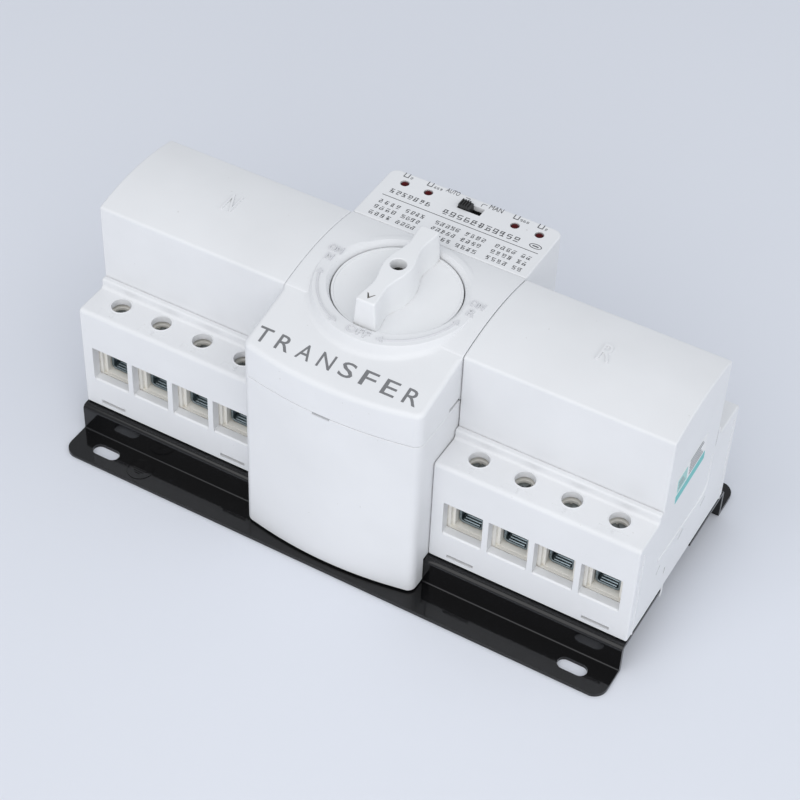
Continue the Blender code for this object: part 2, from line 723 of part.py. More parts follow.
def make_centre_cap():
    """White cap with the dial boss and the well that the knob turns in."""
    rear = HOOD_REAR
    mesh = prism("centre_cap", centre_front_outline(0.0, rear), "z", CAP_BOTTOM, KNOB_TOP)
    side_view = prism("cap_side", cap_section(0.0), "x", -BEYOND, BEYOND)
    mesh = combine(mesh, side_view, "INTERSECT")
    inside = prism("cap_inside", centre_front_outline(SHELL_WALL, rear - SHELL_WALL), "z",
                   CAP_BOTTOM - BEYOND, KNOB_TOP)
    inside_view = prism("cap_under", cap_section(SHELL_WALL), "x", -BEYOND, BEYOND)
    inside = combine(inside, inside_view, "INTERSECT")
    mesh = cut(mesh, inside)

    centre = (DIAL_X, DIAL_Y)
    boss = bmesh.new()
    add_turned(boss, [(0.0, WELL_FLOOR - SHELL_WALL),
                      (WELL_RADIUS + SHELL_WALL, WELL_FLOOR - SHELL_WALL),
                      (BOSS_FOOT_RADIUS, CAP_FRONT_TOP), (BOSS_FOOT_RADIUS, CAP_FRONT_TOP + 0.003),
                      (BOSS_TOP_RADIUS + 0.0004, BOSS_TOP - 0.0008),
                      (BOSS_TOP_RADIUS - 0.0004, BOSS_TOP), (0.0, BOSS_TOP)], centre, 48)
    boss_mesh = combine(new_mesh("boss", boss), boss_limit(rear), "INTERSECT")
    mesh = join(mesh, boss_mesh)
    well = bmesh.new()
    add_turned(well, [(0.0, WELL_FLOOR), (WELL_RADIUS, WELL_FLOOR), (WELL_RADIUS, BOSS_TOP - 0.0003),
                      (BOSS_TOP_RADIUS - 0.001, BOSS_TOP + 0.0001),
                      (BOSS_TOP_RADIUS + 0.006, BOSS_TOP + 0.004),
                      (0.0, BOSS_TOP + 0.004)], centre, 48)
    mesh = cut(mesh, new_mesh("well", well))
    hole = bmesh.new()
    add_rod(hole, *centre, HUB_RADIUS + GAP, CAP_BOTTOM, WELL_FLOOR + SHELL_WALL, 24)
    mesh = cut(mesh, new_mesh("hub_hole", hole))
    return add_object("centre_cap", round_shading(mesh, 20.0), white_plastic())


def control_box_outline(inset):
    half = CENTRE_HALF_WIDTH - inset
    rear = BOX_REAR - inset
    radius = BOX_CORNER_RADIUS - inset / 2.0
    front = HOOD_REAR + GAP + inset
    corner = arc((half - radius, rear - radius), radius, 0.0, 90.0, 4)
    return [(-half, front), (half, front)] + corner + [(-x, y) for x, y in reversed(corner)]


def make_control_box():
    """White rear box with the lamp holes and the mode switch slot in its flat top."""
    mesh = prism("control_box", control_box_outline(0.0), "z", COVER_BOTTOM, BOX_TOP)
    mesh = cut(mesh, prism("box_inside", control_box_outline(SHELL_WALL), "z", -BEYOND,
                           BOX_TOP - SHELL_WALL))
    wall = PLATFORM_DEPTH / 2.0 + GAP
    through = (BOX_TOP - 2.0 * SHELL_WALL, BOX_TOP + SHELL_WALL)
    window = CENTRE_HALF_WIDTH - 2.0 * SHELL_WALL
    openings = bmesh.new()
    add_box(openings, (-BEYOND, BEYOND), (0.0, wall), (-BEYOND, PLATFORM_TOP + GAP))
    add_box(openings, (SLOT_LEFT, SLOT_RIGHT), (SLOT_FRONT, SLOT_REAR), through)
    add_box(openings, (-window, window), (HOOD_REAR - SHELL_WALL, HOOD_REAR + 2.0 * SHELL_WALL),
            (MOTOR_WINDOW_BOTTOM, CHASSIS_TOP))
    for x in LAMP_XS:
        add_rod(openings, x, LAMP_Y, LAMP_RADIUS + 2.0 * RUNNING_CLEARANCE, *through, 16)
    mesh = cut(mesh, new_mesh("box_openings", openings))
    half = CENTRE_HALF_WIDTH - SHELL_WALL / 2.0
    ledges = boxes("ledges", *[((side * half, side * (half - 2.0 * SHELL_WALL)),
                                (BOARD_FRONT + SHELL_WALL, BOARD_REAR - SHELL_WALL),
                                (BOARD_BOTTOM - SHELL_WALL, BOARD_BOTTOM - GAP))
                               for side in (-1, 1)])
    mesh = join(mesh, ledges)
    return add_object("control_box", round_shading(mesh, 25.0), white_plastic())


def make_chassis():
    """Frame of the centre unit: a floor and two side plates with ledges for the gear deck."""
    outer = CENTRE_HALF_WIDTH - SHELL_WALL - GAP
    inner = outer - CHASSIS_WALL
    floor = PLATFORM_TOP + GAP
    ledge = DECK_BOTTOM - GAP
    half = [(outer, floor), (outer, CHASSIS_TOP), (inner, CHASSIS_TOP), (inner, ledge),
            (inner - DECK_LEDGE, ledge), (inner - DECK_LEDGE, ledge - CHASSIS_WALL),
            (inner, ledge - CHASSIS_WALL), (inner, floor + CHASSIS_FLOOR)]
    outline = half + [(-x, z) for x, z in reversed(half)]
    mesh = prism("centre_chassis", outline, "y", CHASSIS_FRONT, CHASSIS_REAR)
    openings = bmesh.new()
    for side in (-1, 1):
        add_bar_way(openings, side * (inner - CHASSIS_WALL), side * (outer + CHASSIS_WALL))
    add_rod(openings, DIAL_X, DIAL_Y, SHAFT_RADIUS + RUNNING_CLEARANCE, floor - CHASSIS_FLOOR,
            floor + 2.0 * CHASSIS_FLOOR, 20)
    mesh = cut(mesh, new_mesh("chassis_openings", openings))
    return add_object("centre_chassis", mesh, black_plastic())


def make_gear_deck():
    """Plate over the gears with the shaft's upper bearing hole."""
    half = CENTRE_HALF_WIDTH - SHELL_WALL - CHASSIS_WALL - 2.0 * GAP
    thickness = DECK_TOP - DECK_BOTTOM
    mesh = boxes("gear_deck", ((-half, half), (DECK_FRONT, DECK_REAR), (DECK_BOTTOM, DECK_TOP)))
    hole = bmesh.new()
    add_rod(hole, DIAL_X, DIAL_Y, SHAFT_RADIUS + RUNNING_CLEARANCE, DECK_BOTTOM - thickness,
            DECK_TOP + thickness, 20)
    return add_object("gear_deck", cut(mesh, new_mesh("deck_hole", hole)), zinc_steel())


# ---------------------------------------------------------------- knob, shaft, gears and motor

def knob_half_width(y):
    """Half width of the grip bar's top: widest at the hub, waisted, wider again at its ends."""
    hub, waist, tip = 0.0053, 0.0029, 0.0039
    waist_y = 0.0125
    reach = abs(y)
    if reach < waist_y:
        return waist + (hub - waist) * math.cos(math.pi * reach / waist_y / 2.0) ** 2
    along = (reach - waist_y) / (KNOB_HALF_LENGTH - waist_y)
    return waist + (tip - waist) * math.sin(math.pi * along / 2.0) ** 2


def grip_outline(spread):
    steps = 16
    side = []
    for step in range(steps + 1):
        y = KNOB_HALF_LENGTH * (2.0 * step / steps - 1.0)
        side.append((knob_half_width(y) + spread, y * (1.0 - 0.3 * spread / KNOB_HALF_LENGTH)))
    return side + [(-x, y) for x, y in reversed(side)]


def grip_bar():
    """Grip bar with drafted sides, as a stack of the same outline at four heights."""
    bm = bmesh.new()
    layers = ((0.0012, KNOB_RIM_TOP - 0.002), (0.0, KNOB_TOP - 0.0008),
              (-0.0004, KNOB_TOP - 0.0001), (-0.0008, KNOB_TOP))
    rings = [[bm.verts.new((x, y, z)) for x, y in grip_outline(spread)] for spread, z in layers]
    count = len(rings[0])
    for lower, upper in zip(rings, rings[1:]):
        for index in range(count):
            after = (index + 1) % count
            bm.faces.new((lower[index], lower[after], upper[after], upper[index]))
    bm.faces.new(list(reversed(rings[0])))
    bm.faces.new(rings[-1])
    return new_mesh("grip", bm)


def make_knob(parent):
    """Turning disc with a dished face, the grip bar across it and the hub underneath."""
    floor = WELL_FLOOR + GAP
    dish = [(KNOB_RADIUS * share, KNOB_RIM_TOP - 0.0004 - 0.0012 * (1.0 - share ** 2))
            for share in (0.94, 0.65, 0.35)]
    profile = [(0.0, floor), (KNOB_RADIUS, floor), (KNOB_RADIUS, KNOB_RIM_TOP - 0.0003),
               (KNOB_RADIUS - 0.0003, KNOB_RIM_TOP), (KNOB_RADIUS * 0.965, KNOB_RIM_TOP)]
    profile += dish + [(0.0, KNOB_RIM_TOP - 0.0016)]
    mesh = turned("rotary_knob", profile, 48)
    mesh = join(mesh, grip_bar())
    hub = bmesh.new()
    add_rod(hub, 0.0, 0.0, HUB_RADIUS, HUB_BOTTOM, floor + 0.001, 24)
    mesh = join(mesh, new_mesh("hub", hub))
    bore = bmesh.new()
    add_rod(bore, 0.0, 0.0, 0.003, KNOB_SCREW_SEAT, KNOB_TOP + 0.01, 24)
    add_rod(bore, 0.0, 0.0, SHAFT_RADIUS + RUNNING_CLEARANCE, HUB_BOTTOM - 0.01, SHAFT_TOP + GAP, 20)
    mesh = cut(mesh, new_mesh("knob_bores", bore))
    through = bmesh.new()
    add_rod(through, 0.0, 0.0, KNOB_SCREW_RADIUS + 2.0 * RUNNING_CLEARANCE, KNOB_SCREW_TIP,
            KNOB_SCREW_SEAT + 0.005, 12)
    mesh = cut(mesh, new_mesh("screw_way", through))
    arrow_half_width, arrow_stroke = 0.0018, 0.0005
    arrow_back, arrow_tip = -0.019, -0.0214
    half_arrow = [(arrow_half_width - arrow_stroke, arrow_back), (arrow_half_width, arrow_back)]
    arrow = [(0.0, arrow_tip + 1.4 * arrow_stroke)] + half_arrow + [(0.0, arrow_tip)]
    arrow += [(-x, y) for x, y in reversed(half_arrow)]
    mesh = cut(mesh, prism("arrow", arrow, "z", KNOB_TOP - 0.0004, KNOB_TOP + 0.001))
    return add_object("rotary_knob", round_shading(mesh, 25.0), white_plastic(), parent=parent)


def make_knob_screw(parent):
    """Cross-head screw that holds the knob on its shaft."""
    seat = KNOB_SCREW_SEAT + RUNNING_CLEARANCE
    shank = KNOB_SCREW_RADIUS
    head = 0.0027
    profile = [(0.0, KNOB_SCREW_TIP), (shank, KNOB_SCREW_TIP), (shank, seat), (head, seat),
               (head, seat + 0.0012), (0.8 * head, seat + 0.002), (0.0, seat + 0.0022)]
    mesh = turned("knob_screw", profile, 12)
    wide, narrow = (-0.0014, 0.0014), (-0.0003, 0.0003)
    depth = (seat + 0.001, seat + 0.01)
    cross = (boxes("cross_along", (narrow, wide, depth)), boxes("cross_across", (wide, narrow, depth)))
    return add_object("knob_screw", cut(mesh, *cross), zinc_steel(), parent=parent)


def gear_outline(teeth, module, phase, addendum=0.8):
    """Toothed outline about the origin, with a tooth centred on the angle phase, in radians.

    The teeth are slim and a little short, which leaves running clearance."""
    pitch_radius = module * teeth / 2.0
    root = pitch_radius - 1.2 * module
    tip = pitch_radius + addendum * module
    step = 2.0 * math.pi / teeth
    outline = []
    for index in range(teeth):
        middle = phase + index * step
        for radius, share in ((root, -0.34), (tip, -0.08), (tip, 0.08), (root, 0.34)):
            angle = middle + share * step
            outline.append((radius * math.cos(angle), radius * math.sin(angle)))
    return outline


def make_drive_shaft(parent):
    """Shaft under the knob, with the small pinion that moves the transfer bar."""
    bottom = PLATFORM_TOP + 3.0 * GAP
    profile = [(0.0, bottom), (SHAFT_RADIUS, bottom), (SHAFT_RADIUS, SHAFT_TOP), (0.0, SHAFT_TOP)]
    mesh = turned("drive_shaft", profile, 20)
    toothed = gear_outline(RACK_PINION_TEETH, RACK_MODULE, -math.pi / 2.0)
    mesh = join(mesh, prism("shaft_pinion", toothed, "z", BAR_BOTTOM - TOOTH_OVERHANG,
                            BAR_TOP + TOOTH_OVERHANG))
    thread = bmesh.new()
    add_rod(thread, 0.0, 0.0, KNOB_SCREW_RADIUS + RUNNING_CLEARANCE, KNOB_SCREW_TIP - 0.0005,
            KNOB_SCREW_SEAT, 12)
    mesh = cut(mesh, new_mesh("shaft_thread", thread))
    return add_object("drive_shaft", round_shading(mesh), zinc_steel(), parent=parent)


def make_drive_gear(parent):
    """Large gear on the drive shaft, turned by the motor's pinion."""
    outline = gear_outline(GEAR_TEETH, GEAR_MODULE, math.pi / 2.0)
    mesh = prism("drive_gear", outline, "z", GEAR_BOTTOM, GEAR_BOTTOM + GEAR_THICKNESS)
    hub_radius, hub_reach = 0.006, 0.002
    hub = bmesh.new()
    add_rod(hub, 0.0, 0.0, hub_radius, GEAR_BOTTOM - hub_reach,
            GEAR_BOTTOM + GEAR_THICKNESS + hub_reach, 24)
    mesh = join(mesh, new_mesh("gear_hub", hub))
    bore = bmesh.new()
    add_rod(bore, 0.0, 0.0, SHAFT_RADIUS + RUNNING_CLEARANCE, GEAR_BOTTOM - 2.0 * hub_reach,
            GEAR_BOTTOM + GEAR_THICKNESS + 2.0 * hub_reach, 20)
    mesh = cut(mesh, new_mesh("gear_bore", bore))
    return add_object("drive_gear", mesh, natural_nylon(), parent=parent)


def gear_centre_distance():
    return GEAR_MODULE * (GEAR_TEETH + PINION_TEETH) / 2.0


def make_motor():
    """Round gear motor standing on the chassis floor, with its shaft end left free for the pinion."""
    floor = PLATFORM_TOP + CHASSIS_FLOOR + 2.0 * GAP
    centre_y = DIAL_Y + gear_centre_distance()
    bevel = 0.0005
    collar = 0.0045
    profile = [(0.0, floor), (MOTOR_RADIUS - bevel, floor), (MOTOR_RADIUS, floor + bevel),
               (MOTOR_RADIUS, MOTOR_TOP - bevel), (MOTOR_RADIUS - bevel, MOTOR_TOP),
               (collar, MOTOR_TOP), (collar, MOTOR_TOP + 0.0015),
               (MOTOR_SHAFT_RADIUS, MOTOR_TOP + 0.0015), (MOTOR_SHAFT_RADIUS, MOTOR_SHAFT_TOP),
               (0.0, MOTOR_SHAFT_TOP)]
    mesh = turned("motor", profile, 24)
    return add_object("motor", mesh, zinc_steel(), (DIAL_X, centre_y, 0.0))


def make_motor_pinion(parent):
    phase = -math.pi / 2.0 + math.pi / PINION_TEETH
    outline = gear_outline(PINION_TEETH, GEAR_MODULE, phase)
    bottom = GEAR_BOTTOM - TOOTH_OVERHANG
    top = GEAR_BOTTOM + GEAR_THICKNESS + TOOTH_OVERHANG
    mesh = prism("motor_pinion", outline, "z", bottom, top)
    bore = bmesh.new()
    add_rod(bore, 0.0, 0.0, MOTOR_SHAFT_RADIUS + RUNNING_CLEARANCE, bottom - TOOTH_OVERHANG,
            top + TOOTH_OVERHANG, 16)
    mesh = cut(mesh, new_mesh("pinion_bore", bore))
    return add_object("motor_pinion", mesh, zinc_steel(), parent=parent)


# ---------------------------------------------------------------- board, lamps and mode switch

def make_board():
    half = CENTRE_HALF_WIDTH - SHELL_WALL - 2.0 * GAP
    mesh = boxes("circuit_board", ((-half, half), (BOARD_FRONT, BOARD_REAR),
                                   (BOARD_BOTTOM, BOARD_TOP)))
    return add_object("circuit_board", mesh, board_green())


def make_lamps():
    """Four indicator lamps that stand on the board and show through the box's top."""
    foot = BOARD_TOP + RUNNING_CLEARANCE
    flange = LAMP_RADIUS + 0.0004
    flange_top = foot + 0.001
    shoulder = BOX_TOP - 0.0004
    dome_height = 0.001
    dome = [(LAMP_RADIUS * math.cos(math.radians(turn)),
             shoulder + dome_height * math.sin(math.radians(turn))) for turn in (0, 45)]
    profile = [(0.0, foot), (flange, foot), (flange, flange_top), (LAMP_RADIUS, flange_top)]
    profile += dome + [(0.0, shoulder + dome_height)]
    mesh = turned("lamp", profile, 12)
    for index, x in enumerate(LAMP_XS):
        add_object("indicator_lamp_%d" % (index + 1), mesh, red_lens(), (x, LAMP_Y, 0.0))


def slider_depths():
    return (SLOT_FRONT + GAP, SLOT_REAR - GAP)


def make_mode_switch():
    """Switch body on the board, with a channel for the slider's foot."""
    side_wall, end_wall = 0.001, 0.002
    top = BOX_TOP - SHELL_WALL - GAP
    mesh = boxes("mode_switch_body", ((SLOT_LEFT - end_wall, SLOT_RIGHT + end_wall),
                                      (SLOT_FRONT - side_wall, SLOT_REAR + side_wall),
                                      (BOARD_TOP + GAP, top)))
    channel = boxes("channel", ((SLOT_LEFT, SLOT_RIGHT), (SLOT_FRONT, SLOT_REAR),
                                (SLIDER_FOOT - GAP, top + side_wall)))
    return add_object("mode_switch_body", cut(mesh, channel), black_plastic())


def make_mode_slider(parent):
    """Black slider with grip ribs across its top; it rests at the left end of its slot."""
    left = SLOT_LEFT + GAP
    valley = SLIDER_TOP - 0.0006
    pitch = SLIDER_WIDTH / SLIDER_RIBS
    outline = [(left, SLIDER_FOOT), (left + SLIDER_WIDTH, SLIDER_FOOT)]
    for index in range(SLIDER_RIBS, 0, -1):
        edge = left + index * pitch
        outline += [(edge, valley), (edge - 0.3 * pitch, SLIDER_TOP),
                    (edge - 0.7 * pitch, SLIDER_TOP)]
    outline += [(left, valley)]
    depths = slider_depths()
    mesh = prism("mode_slider", [(x - parent.location.x, z - parent.location.z)
                                 for x, z in outline],
                 "y", depths[0] - parent.location.y, depths[1] - parent.location.y)
    return add_object("mode_slider", mesh, black_plastic(), parent=parent)


# ---------------------------------------------------------------- assembly

def build():
    clear_scene()
    make_base_plate()
    screw_mesh = clamp_screw_mesh()
    transfer = axis_empty("transfer_axis", (0.0, DIAL_Y, BAR_BOTTOM))
    for side, letter in ((-1, "n"), (1, "r")):
        make_enclosure(side, letter + "_enclosure")
        make_pole_block(side, letter + "_pole_block")
        make_terminals(side, letter, screw_mesh)
        make_contact_carrier(side, letter + "_contact_carrier", transfer)
    make_transfer_bar(transfer)

    make_chassis()
    make_gear_deck()
    make_front_cover()
    make_centre_cap()
    make_control_box()

    dial = axis_empty("dial_axis", (DIAL_X, DIAL_Y, 0.0))
    make_knob(dial)
    make_knob_screw(dial)
    make_drive_shaft(dial)
    make_drive_gear(dial)
    make_motor()
    make_motor_pinion(axis_empty("motor_axis", (DIAL_X, DIAL_Y + gear_centre_distance(), 0.0)))

    make_board()
    make_lamps()
    make_mode_switch()
    make_mode_slider(axis_empty("mode_axis", (SLOT_LEFT, (SLOT_FRONT + SLOT_REAR) / 2.0, BOX_TOP)))


build()
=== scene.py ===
"""Looks of the dual-supply transfer switch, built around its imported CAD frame.

Shapes are modelled in millimetres and become metres when a piece is made. +X is right, +Y is back,
+Z is up, and the origin is the centre of the base plate's underside, as in the CAD.
"""

import math
import random

import bmesh
import bpy
from mathutils import Matrix, Vector


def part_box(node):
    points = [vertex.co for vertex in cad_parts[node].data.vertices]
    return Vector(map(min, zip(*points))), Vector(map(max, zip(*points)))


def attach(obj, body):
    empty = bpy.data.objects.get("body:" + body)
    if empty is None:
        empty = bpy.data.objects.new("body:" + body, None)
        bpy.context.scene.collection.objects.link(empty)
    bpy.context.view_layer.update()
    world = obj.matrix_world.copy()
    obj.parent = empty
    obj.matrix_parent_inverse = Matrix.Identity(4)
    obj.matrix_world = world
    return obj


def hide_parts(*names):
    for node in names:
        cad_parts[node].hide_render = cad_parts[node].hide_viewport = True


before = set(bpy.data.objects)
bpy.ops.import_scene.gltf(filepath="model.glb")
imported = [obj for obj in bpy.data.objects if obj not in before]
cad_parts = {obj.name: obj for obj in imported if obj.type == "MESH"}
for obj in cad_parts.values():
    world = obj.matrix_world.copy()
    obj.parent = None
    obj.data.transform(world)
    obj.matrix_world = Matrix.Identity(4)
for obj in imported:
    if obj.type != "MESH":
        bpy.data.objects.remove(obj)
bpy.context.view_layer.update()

MM = 0.001
SEED = 7

# Plate
PLATE_THICKNESS = 1.5
PLATE_BEND = 2.0
FLANGE_FILLET = 0.6
FLANGE_CORNER = 5.5
SLOT_LENGTH = 11.5
SLOT_WIDTH = 5.5
SLOT_INSET_X = 14.95
SLOT_INSET_Y = 7.6
PLATFORM_HALF_DEPTH = 44.6
PLATFORM_TOP = 13.4
NOTCH_DEPTH = 3.0
NOTCH_HALF_WIDTH = 13.0
EARTH_MARK = (-83.9, -52.2)

# Switch units
POLES = 4
POLE_PITCH = 18.0
SIDE_WALL = 3.3
END_WALL = 3.7
SHOULDER_TOP = 60.9
SHOULDER_WALL = 2.5
LIP_TOP = 64.7
LIP_FRONT = -26.9
LIP_REAR = 24.2
HOOD_FRONT = -24.5
HOOD_REAR = 21.8
HOOD_FRONT_TOP = 97.3
HOOD_REAR_TOP = 98.2
HOOD_CREST = 2.8
HOOD_WALL = 2.0
HOOD_ROUND = 1.3
WINDOW_HALF_WIDTH = 7.9
WINDOW_BOTTOM = 27.9
WINDOW_TOP = 43.4
SCREW_Y = 32.15
SCREW_HOLE = 3.7
SLIT_Z = 16.8
SLIT_HALF_LENGTH = 5.4
SLIT_HALF_HEIGHT = 0.75
CAGE_HALF_WIDTH = 5.0
CAGE_FRONT = 34.4
CAGE_BACK = 24.4
CAGE_BOTTOM = 28.9
CAGE_TOP = 43.2
SCREW_TOP = 56.3
CHAMBER_HALF_WIDTH = 7.7
CHAMBER_HALF_DEPTH = 13.3
CHAMBER_FLOOR = 24.0
PLAQUE_HALF_WIDTH = 5.4
PLAQUE_DEPTH = 0.09
FOOT_TAB = (-11.6, -9.9, 7.6)            # front, rear, bottom
LABEL_CENTRE = (-3.7, 67.5)
LABEL_TILT = 4.3

# Centre unit
SEAM = 0.27              # how far a white piece reaches past its CAD solid to close up the seams
FRONT_CORNER_Y = -52.8
FRONT_BULGE_Y = -56.2
FRONT_CORNER_RADIUS = 3.4
SHELL_WALL = 2.2
COVER_BACK = -23.9
CAP_BOTTOM = 76.8
CAP_FRONT_TOP = 91.5
BOX_TOP = 98.2
BOX_CORNER_RADIUS = 3.5
DIAL = (0.0, -7.25)
BOSS_CREST = 100.3
BOSS_FALL = 0.00125       # how fast the boss's top falls off before and behind its crest, per mm
BOSS_RADIUS = 29.7
MARK_RISE = 0.6
CAP_STEP = 0.35          # how far the cap's sloping front lies below the start of its arch
WELL_RADIUS = 23.8
WELL_FLOOR = 94.2
KNOB_RADIUS = 23.4
KNOB_RIM_TOP = 98.0
KNOB_TOP = 110.0
KNOB_HALF_LENGTH = 23.1
HUB_RADIUS = 6.8
HUB_BOTTOM = 88.5
SHAFT_TOP = 96.5
SIDE_SLOT = (-32.0, -24.2, 78.4)         # front, rear, top of the slots in the cap's sides
WAIST = 2.9              # half width of the grip at its narrowest, WAIST_Y from the axis
WAIST_Y = 12.8
LAMP_XS = (-27.4, -17.4, 18.6, 28.6)
LAMP_Y = 46.0
MODE_SLOT = (-4.4, 5.1, 43.9, 48.1)      # left, right, front, rear

# Camera, fitted to the photograph
CAMERA_LENS = 93.55
CAMERA_PLACE = (0.25939, -0.48908, 0.57797)
CAMERA_RIGHT = (0.86679, 0.49758, 0.03301)
CAMERA_FORWARD = (-0.33629, 0.63213, -0.69809)


def corners(node):
    """Lowest and highest corner of a CAD node, in millimetres."""
    low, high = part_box(node)
    return low / MM, high / MM


# ---------------------------------------------------------------- outlines

def arc(centre, radius, start, end, steps):
    """Points on an arc, angles in degrees."""
    points = []
    for step in range(steps + 1):
        angle = math.radians(start + (end - start) * step / steps)
        points.append((centre[0] + radius * math.cos(angle), centre[1] + radius * math.sin(angle)))
    return points


def crowned_line(start, end, rise, steps):
    """Points on the arc from start to end whose middle stands rise to the left of the chord."""
    chord = Vector(end) - Vector(start)
    across = Vector((-chord.y, chord.x)).normalized()
    radius = (chord.length ** 2 / 4.0 + rise ** 2) / (2.0 * rise)
    centre = (Vector(start) + Vector(end)) / 2.0 + across * (rise - radius)
    half_angle = math.asin(chord.length / 2.0 / radius)
    points = []
    for step in range(steps + 1):
        turn = half_angle * (1.0 - 2.0 * step / steps)
        direction = across * math.cos(turn) - chord.normalized() * math.sin(turn)
        points.append(tuple(centre + direction * radius))
    return points


def rounded(corner_list, degrees_per_step=15.0):
    """Closed outline with its corners rounded. Each corner is (a, b) or (a, b, radius)."""
    outline = []
    count = len(corner_list)
    for index, corner in enumerate(corner_list):
        here = Vector(corner[:2])
        radius = corner[2] if len(corner) > 2 else 0.0
        if radius <= 0.0:
            outline.append(tuple(here))
            continue
        back = (Vector(corner_list[index - 1][:2]) - here).normalized()
        ahead = (Vector(corner_list[(index + 1) % count][:2]) - here).normalized()
        between = back.angle(ahead)
        reach = radius / math.tan(between / 2.0)
        first = here + back * reach
        last = here + ahead * reach
        centre = here + (back + ahead).normalized() * (radius / math.sin(between / 2.0))
        sweep = math.pi - between
        steps = max(2, round(math.degrees(sweep) / degrees_per_step))
        start = first - centre
        side = 1.0 if start.x * (last - centre).y - start.y * (last - centre).x > 0.0 else -1.0
        for step in range(steps + 1):
            turn = side * sweep * step / steps
            outline.append((centre.x + start.x * math.cos(turn) - start.y * math.sin(turn),
                            centre.y + start.x * math.sin(turn) + start.y * math.cos(turn)))
    return outline


def rounded_box(low, high, radius, degrees_per_step=15.0):
    """Rectangle between two opposite corners, with all its corners rounded."""
    return rounded([(low[0], low[1], radius), (high[0], low[1], radius), (high[0], high[1], radius),
                    (low[0], high[1], radius)], degrees_per_step)


def about(middle, reach):
    """The two ends of a span, reach to either side of its middle."""
    return middle - reach, middle + reach


def signed_area(outline):
    total = 0.0
    for (a0, b0), (a1, b1) in zip(outline, outline[1:] + outline[:1]):
        total += a0 * b1 - a1 * b0
    return total / 2.0


def inset(outline, distance):
    """The outline moved inwards by distance, with mitred corners."""
    inward = 1.0 if signed_area(outline) > 0.0 else -1.0
    count = len(outline)
    moved = []
    for index in range(count):
        here = Vector(outline[index])
        before = (here - Vector(outline[index - 1])).normalized()
        after = (Vector(outline[(index + 1) % count]) - here).normalized()
        normal_before = Vector((-before.y, before.x)) * inward
        normal_after = Vector((-after.y, after.x)) * inward
        middle = (normal_before + normal_after).normalized()
        moved.append(tuple(here + middle * distance / max(0.3, middle.dot(normal_before))))
    return moved


def slot_outline(x, y, length, width, steps=10):
    reach = (length - width) / 2.0
    radius = width / 2.0
    return (arc((x + reach, y), radius, -90.0, 90.0, steps)
            + arc((x - reach, y), radius, 90.0, 270.0, steps))


# ---------------------------------------------------------------- mesh building

def place(axis, a, b, along):
    """A point of an outline swept along axis: x takes (y, z), y takes (x, z), z takes (x, y)."""
    return {"x": (along, a, b), "y": (a, along, b), "z": (a, b, along)}[axis]


def bridge(bm, lower, upper):
    count = len(lower)
    for index in range(count):
        after = (index + 1) % count
        bm.faces.new((lower[index], lower[after], upper[after], upper[index]))


def skin(bm, rings):
    """Join rings of vertices into one closed body."""
    for lower, upper in zip(rings, rings[1:]):
        bridge(bm, lower, upper)
    bm.faces.new(list(reversed(rings[0])))
    bm.faces.new(rings[-1])


def add_prism(bm, outline, axis, start, end, edge=0.0, steps=3):
    """Sweep a closed outline along axis, with the edges of both ends rounded by edge."""
    stations = []
    if edge > 0.0:
        for step in range(steps + 1):
            turn = math.radians(90.0 * step / steps)
            stations.append((edge * (1.0 - math.cos(turn)), edge * (1.0 - math.sin(turn))))
    else:
        stations.append((0.0, 0.0))
    direction = 1.0 if end > start else -1.0
    places = [(start + direction * depth, shrink) for depth, shrink in stations]
    places += [(end - direction * depth, shrink) for depth, shrink in reversed(stations)]
    rings = []
    for along, shrink in places:
        points = inset(outline, shrink) if shrink > 1e-6 else outline
        rings.append([bm.verts.new(place(axis, a, b, along)) for a, b in points])
    skin(bm, rings)


def add_box(bm, xs, ys, zs, edge=0.0):
    plan = rounded_box((min(xs), min(ys)), (max(xs), max(ys)), edge, 30.0)
    add_prism(bm, plan, "z", min(zs), max(zs), edge * 0.99)


def add_turned(bm, profile, centre=(0.0, 0.0), segments=64):
    """Turn a profile of (radius, z) points about the vertical through centre."""
    rings = []
    for radius, z in profile:
        if radius == 0.0:
            rings.append([bm.verts.new((centre[0], centre[1], z))])
            continue
        rings.append([bm.verts.new((centre[0] + radius * math.cos(2.0 * math.pi * k / segments),
                                    centre[1] + radius * math.sin(2.0 * math.pi * k / segments), z))
                      for k in range(segments)])
    if len(rings[0]) > 1:
        rings.append(rings[0])
    for lower, upper in zip(rings, rings[1:]):
        for step in range(segments):
            after = (step + 1) % segments
            face = [lower[step % len(lower)], lower[after % len(lower)],
                    upper[after % len(upper)], upper[step % len(upper)]]
            face = list(dict.fromkeys(face))
            if len(face) > 2:
                bm.faces.new(face)


def add_rod(bm, x, y, radius, z0, z1, segments=32):
    add_turned(bm, [(0.0, z0), (radius, z0), (radius, z1), (0.0, z1)], (x, y), segments)


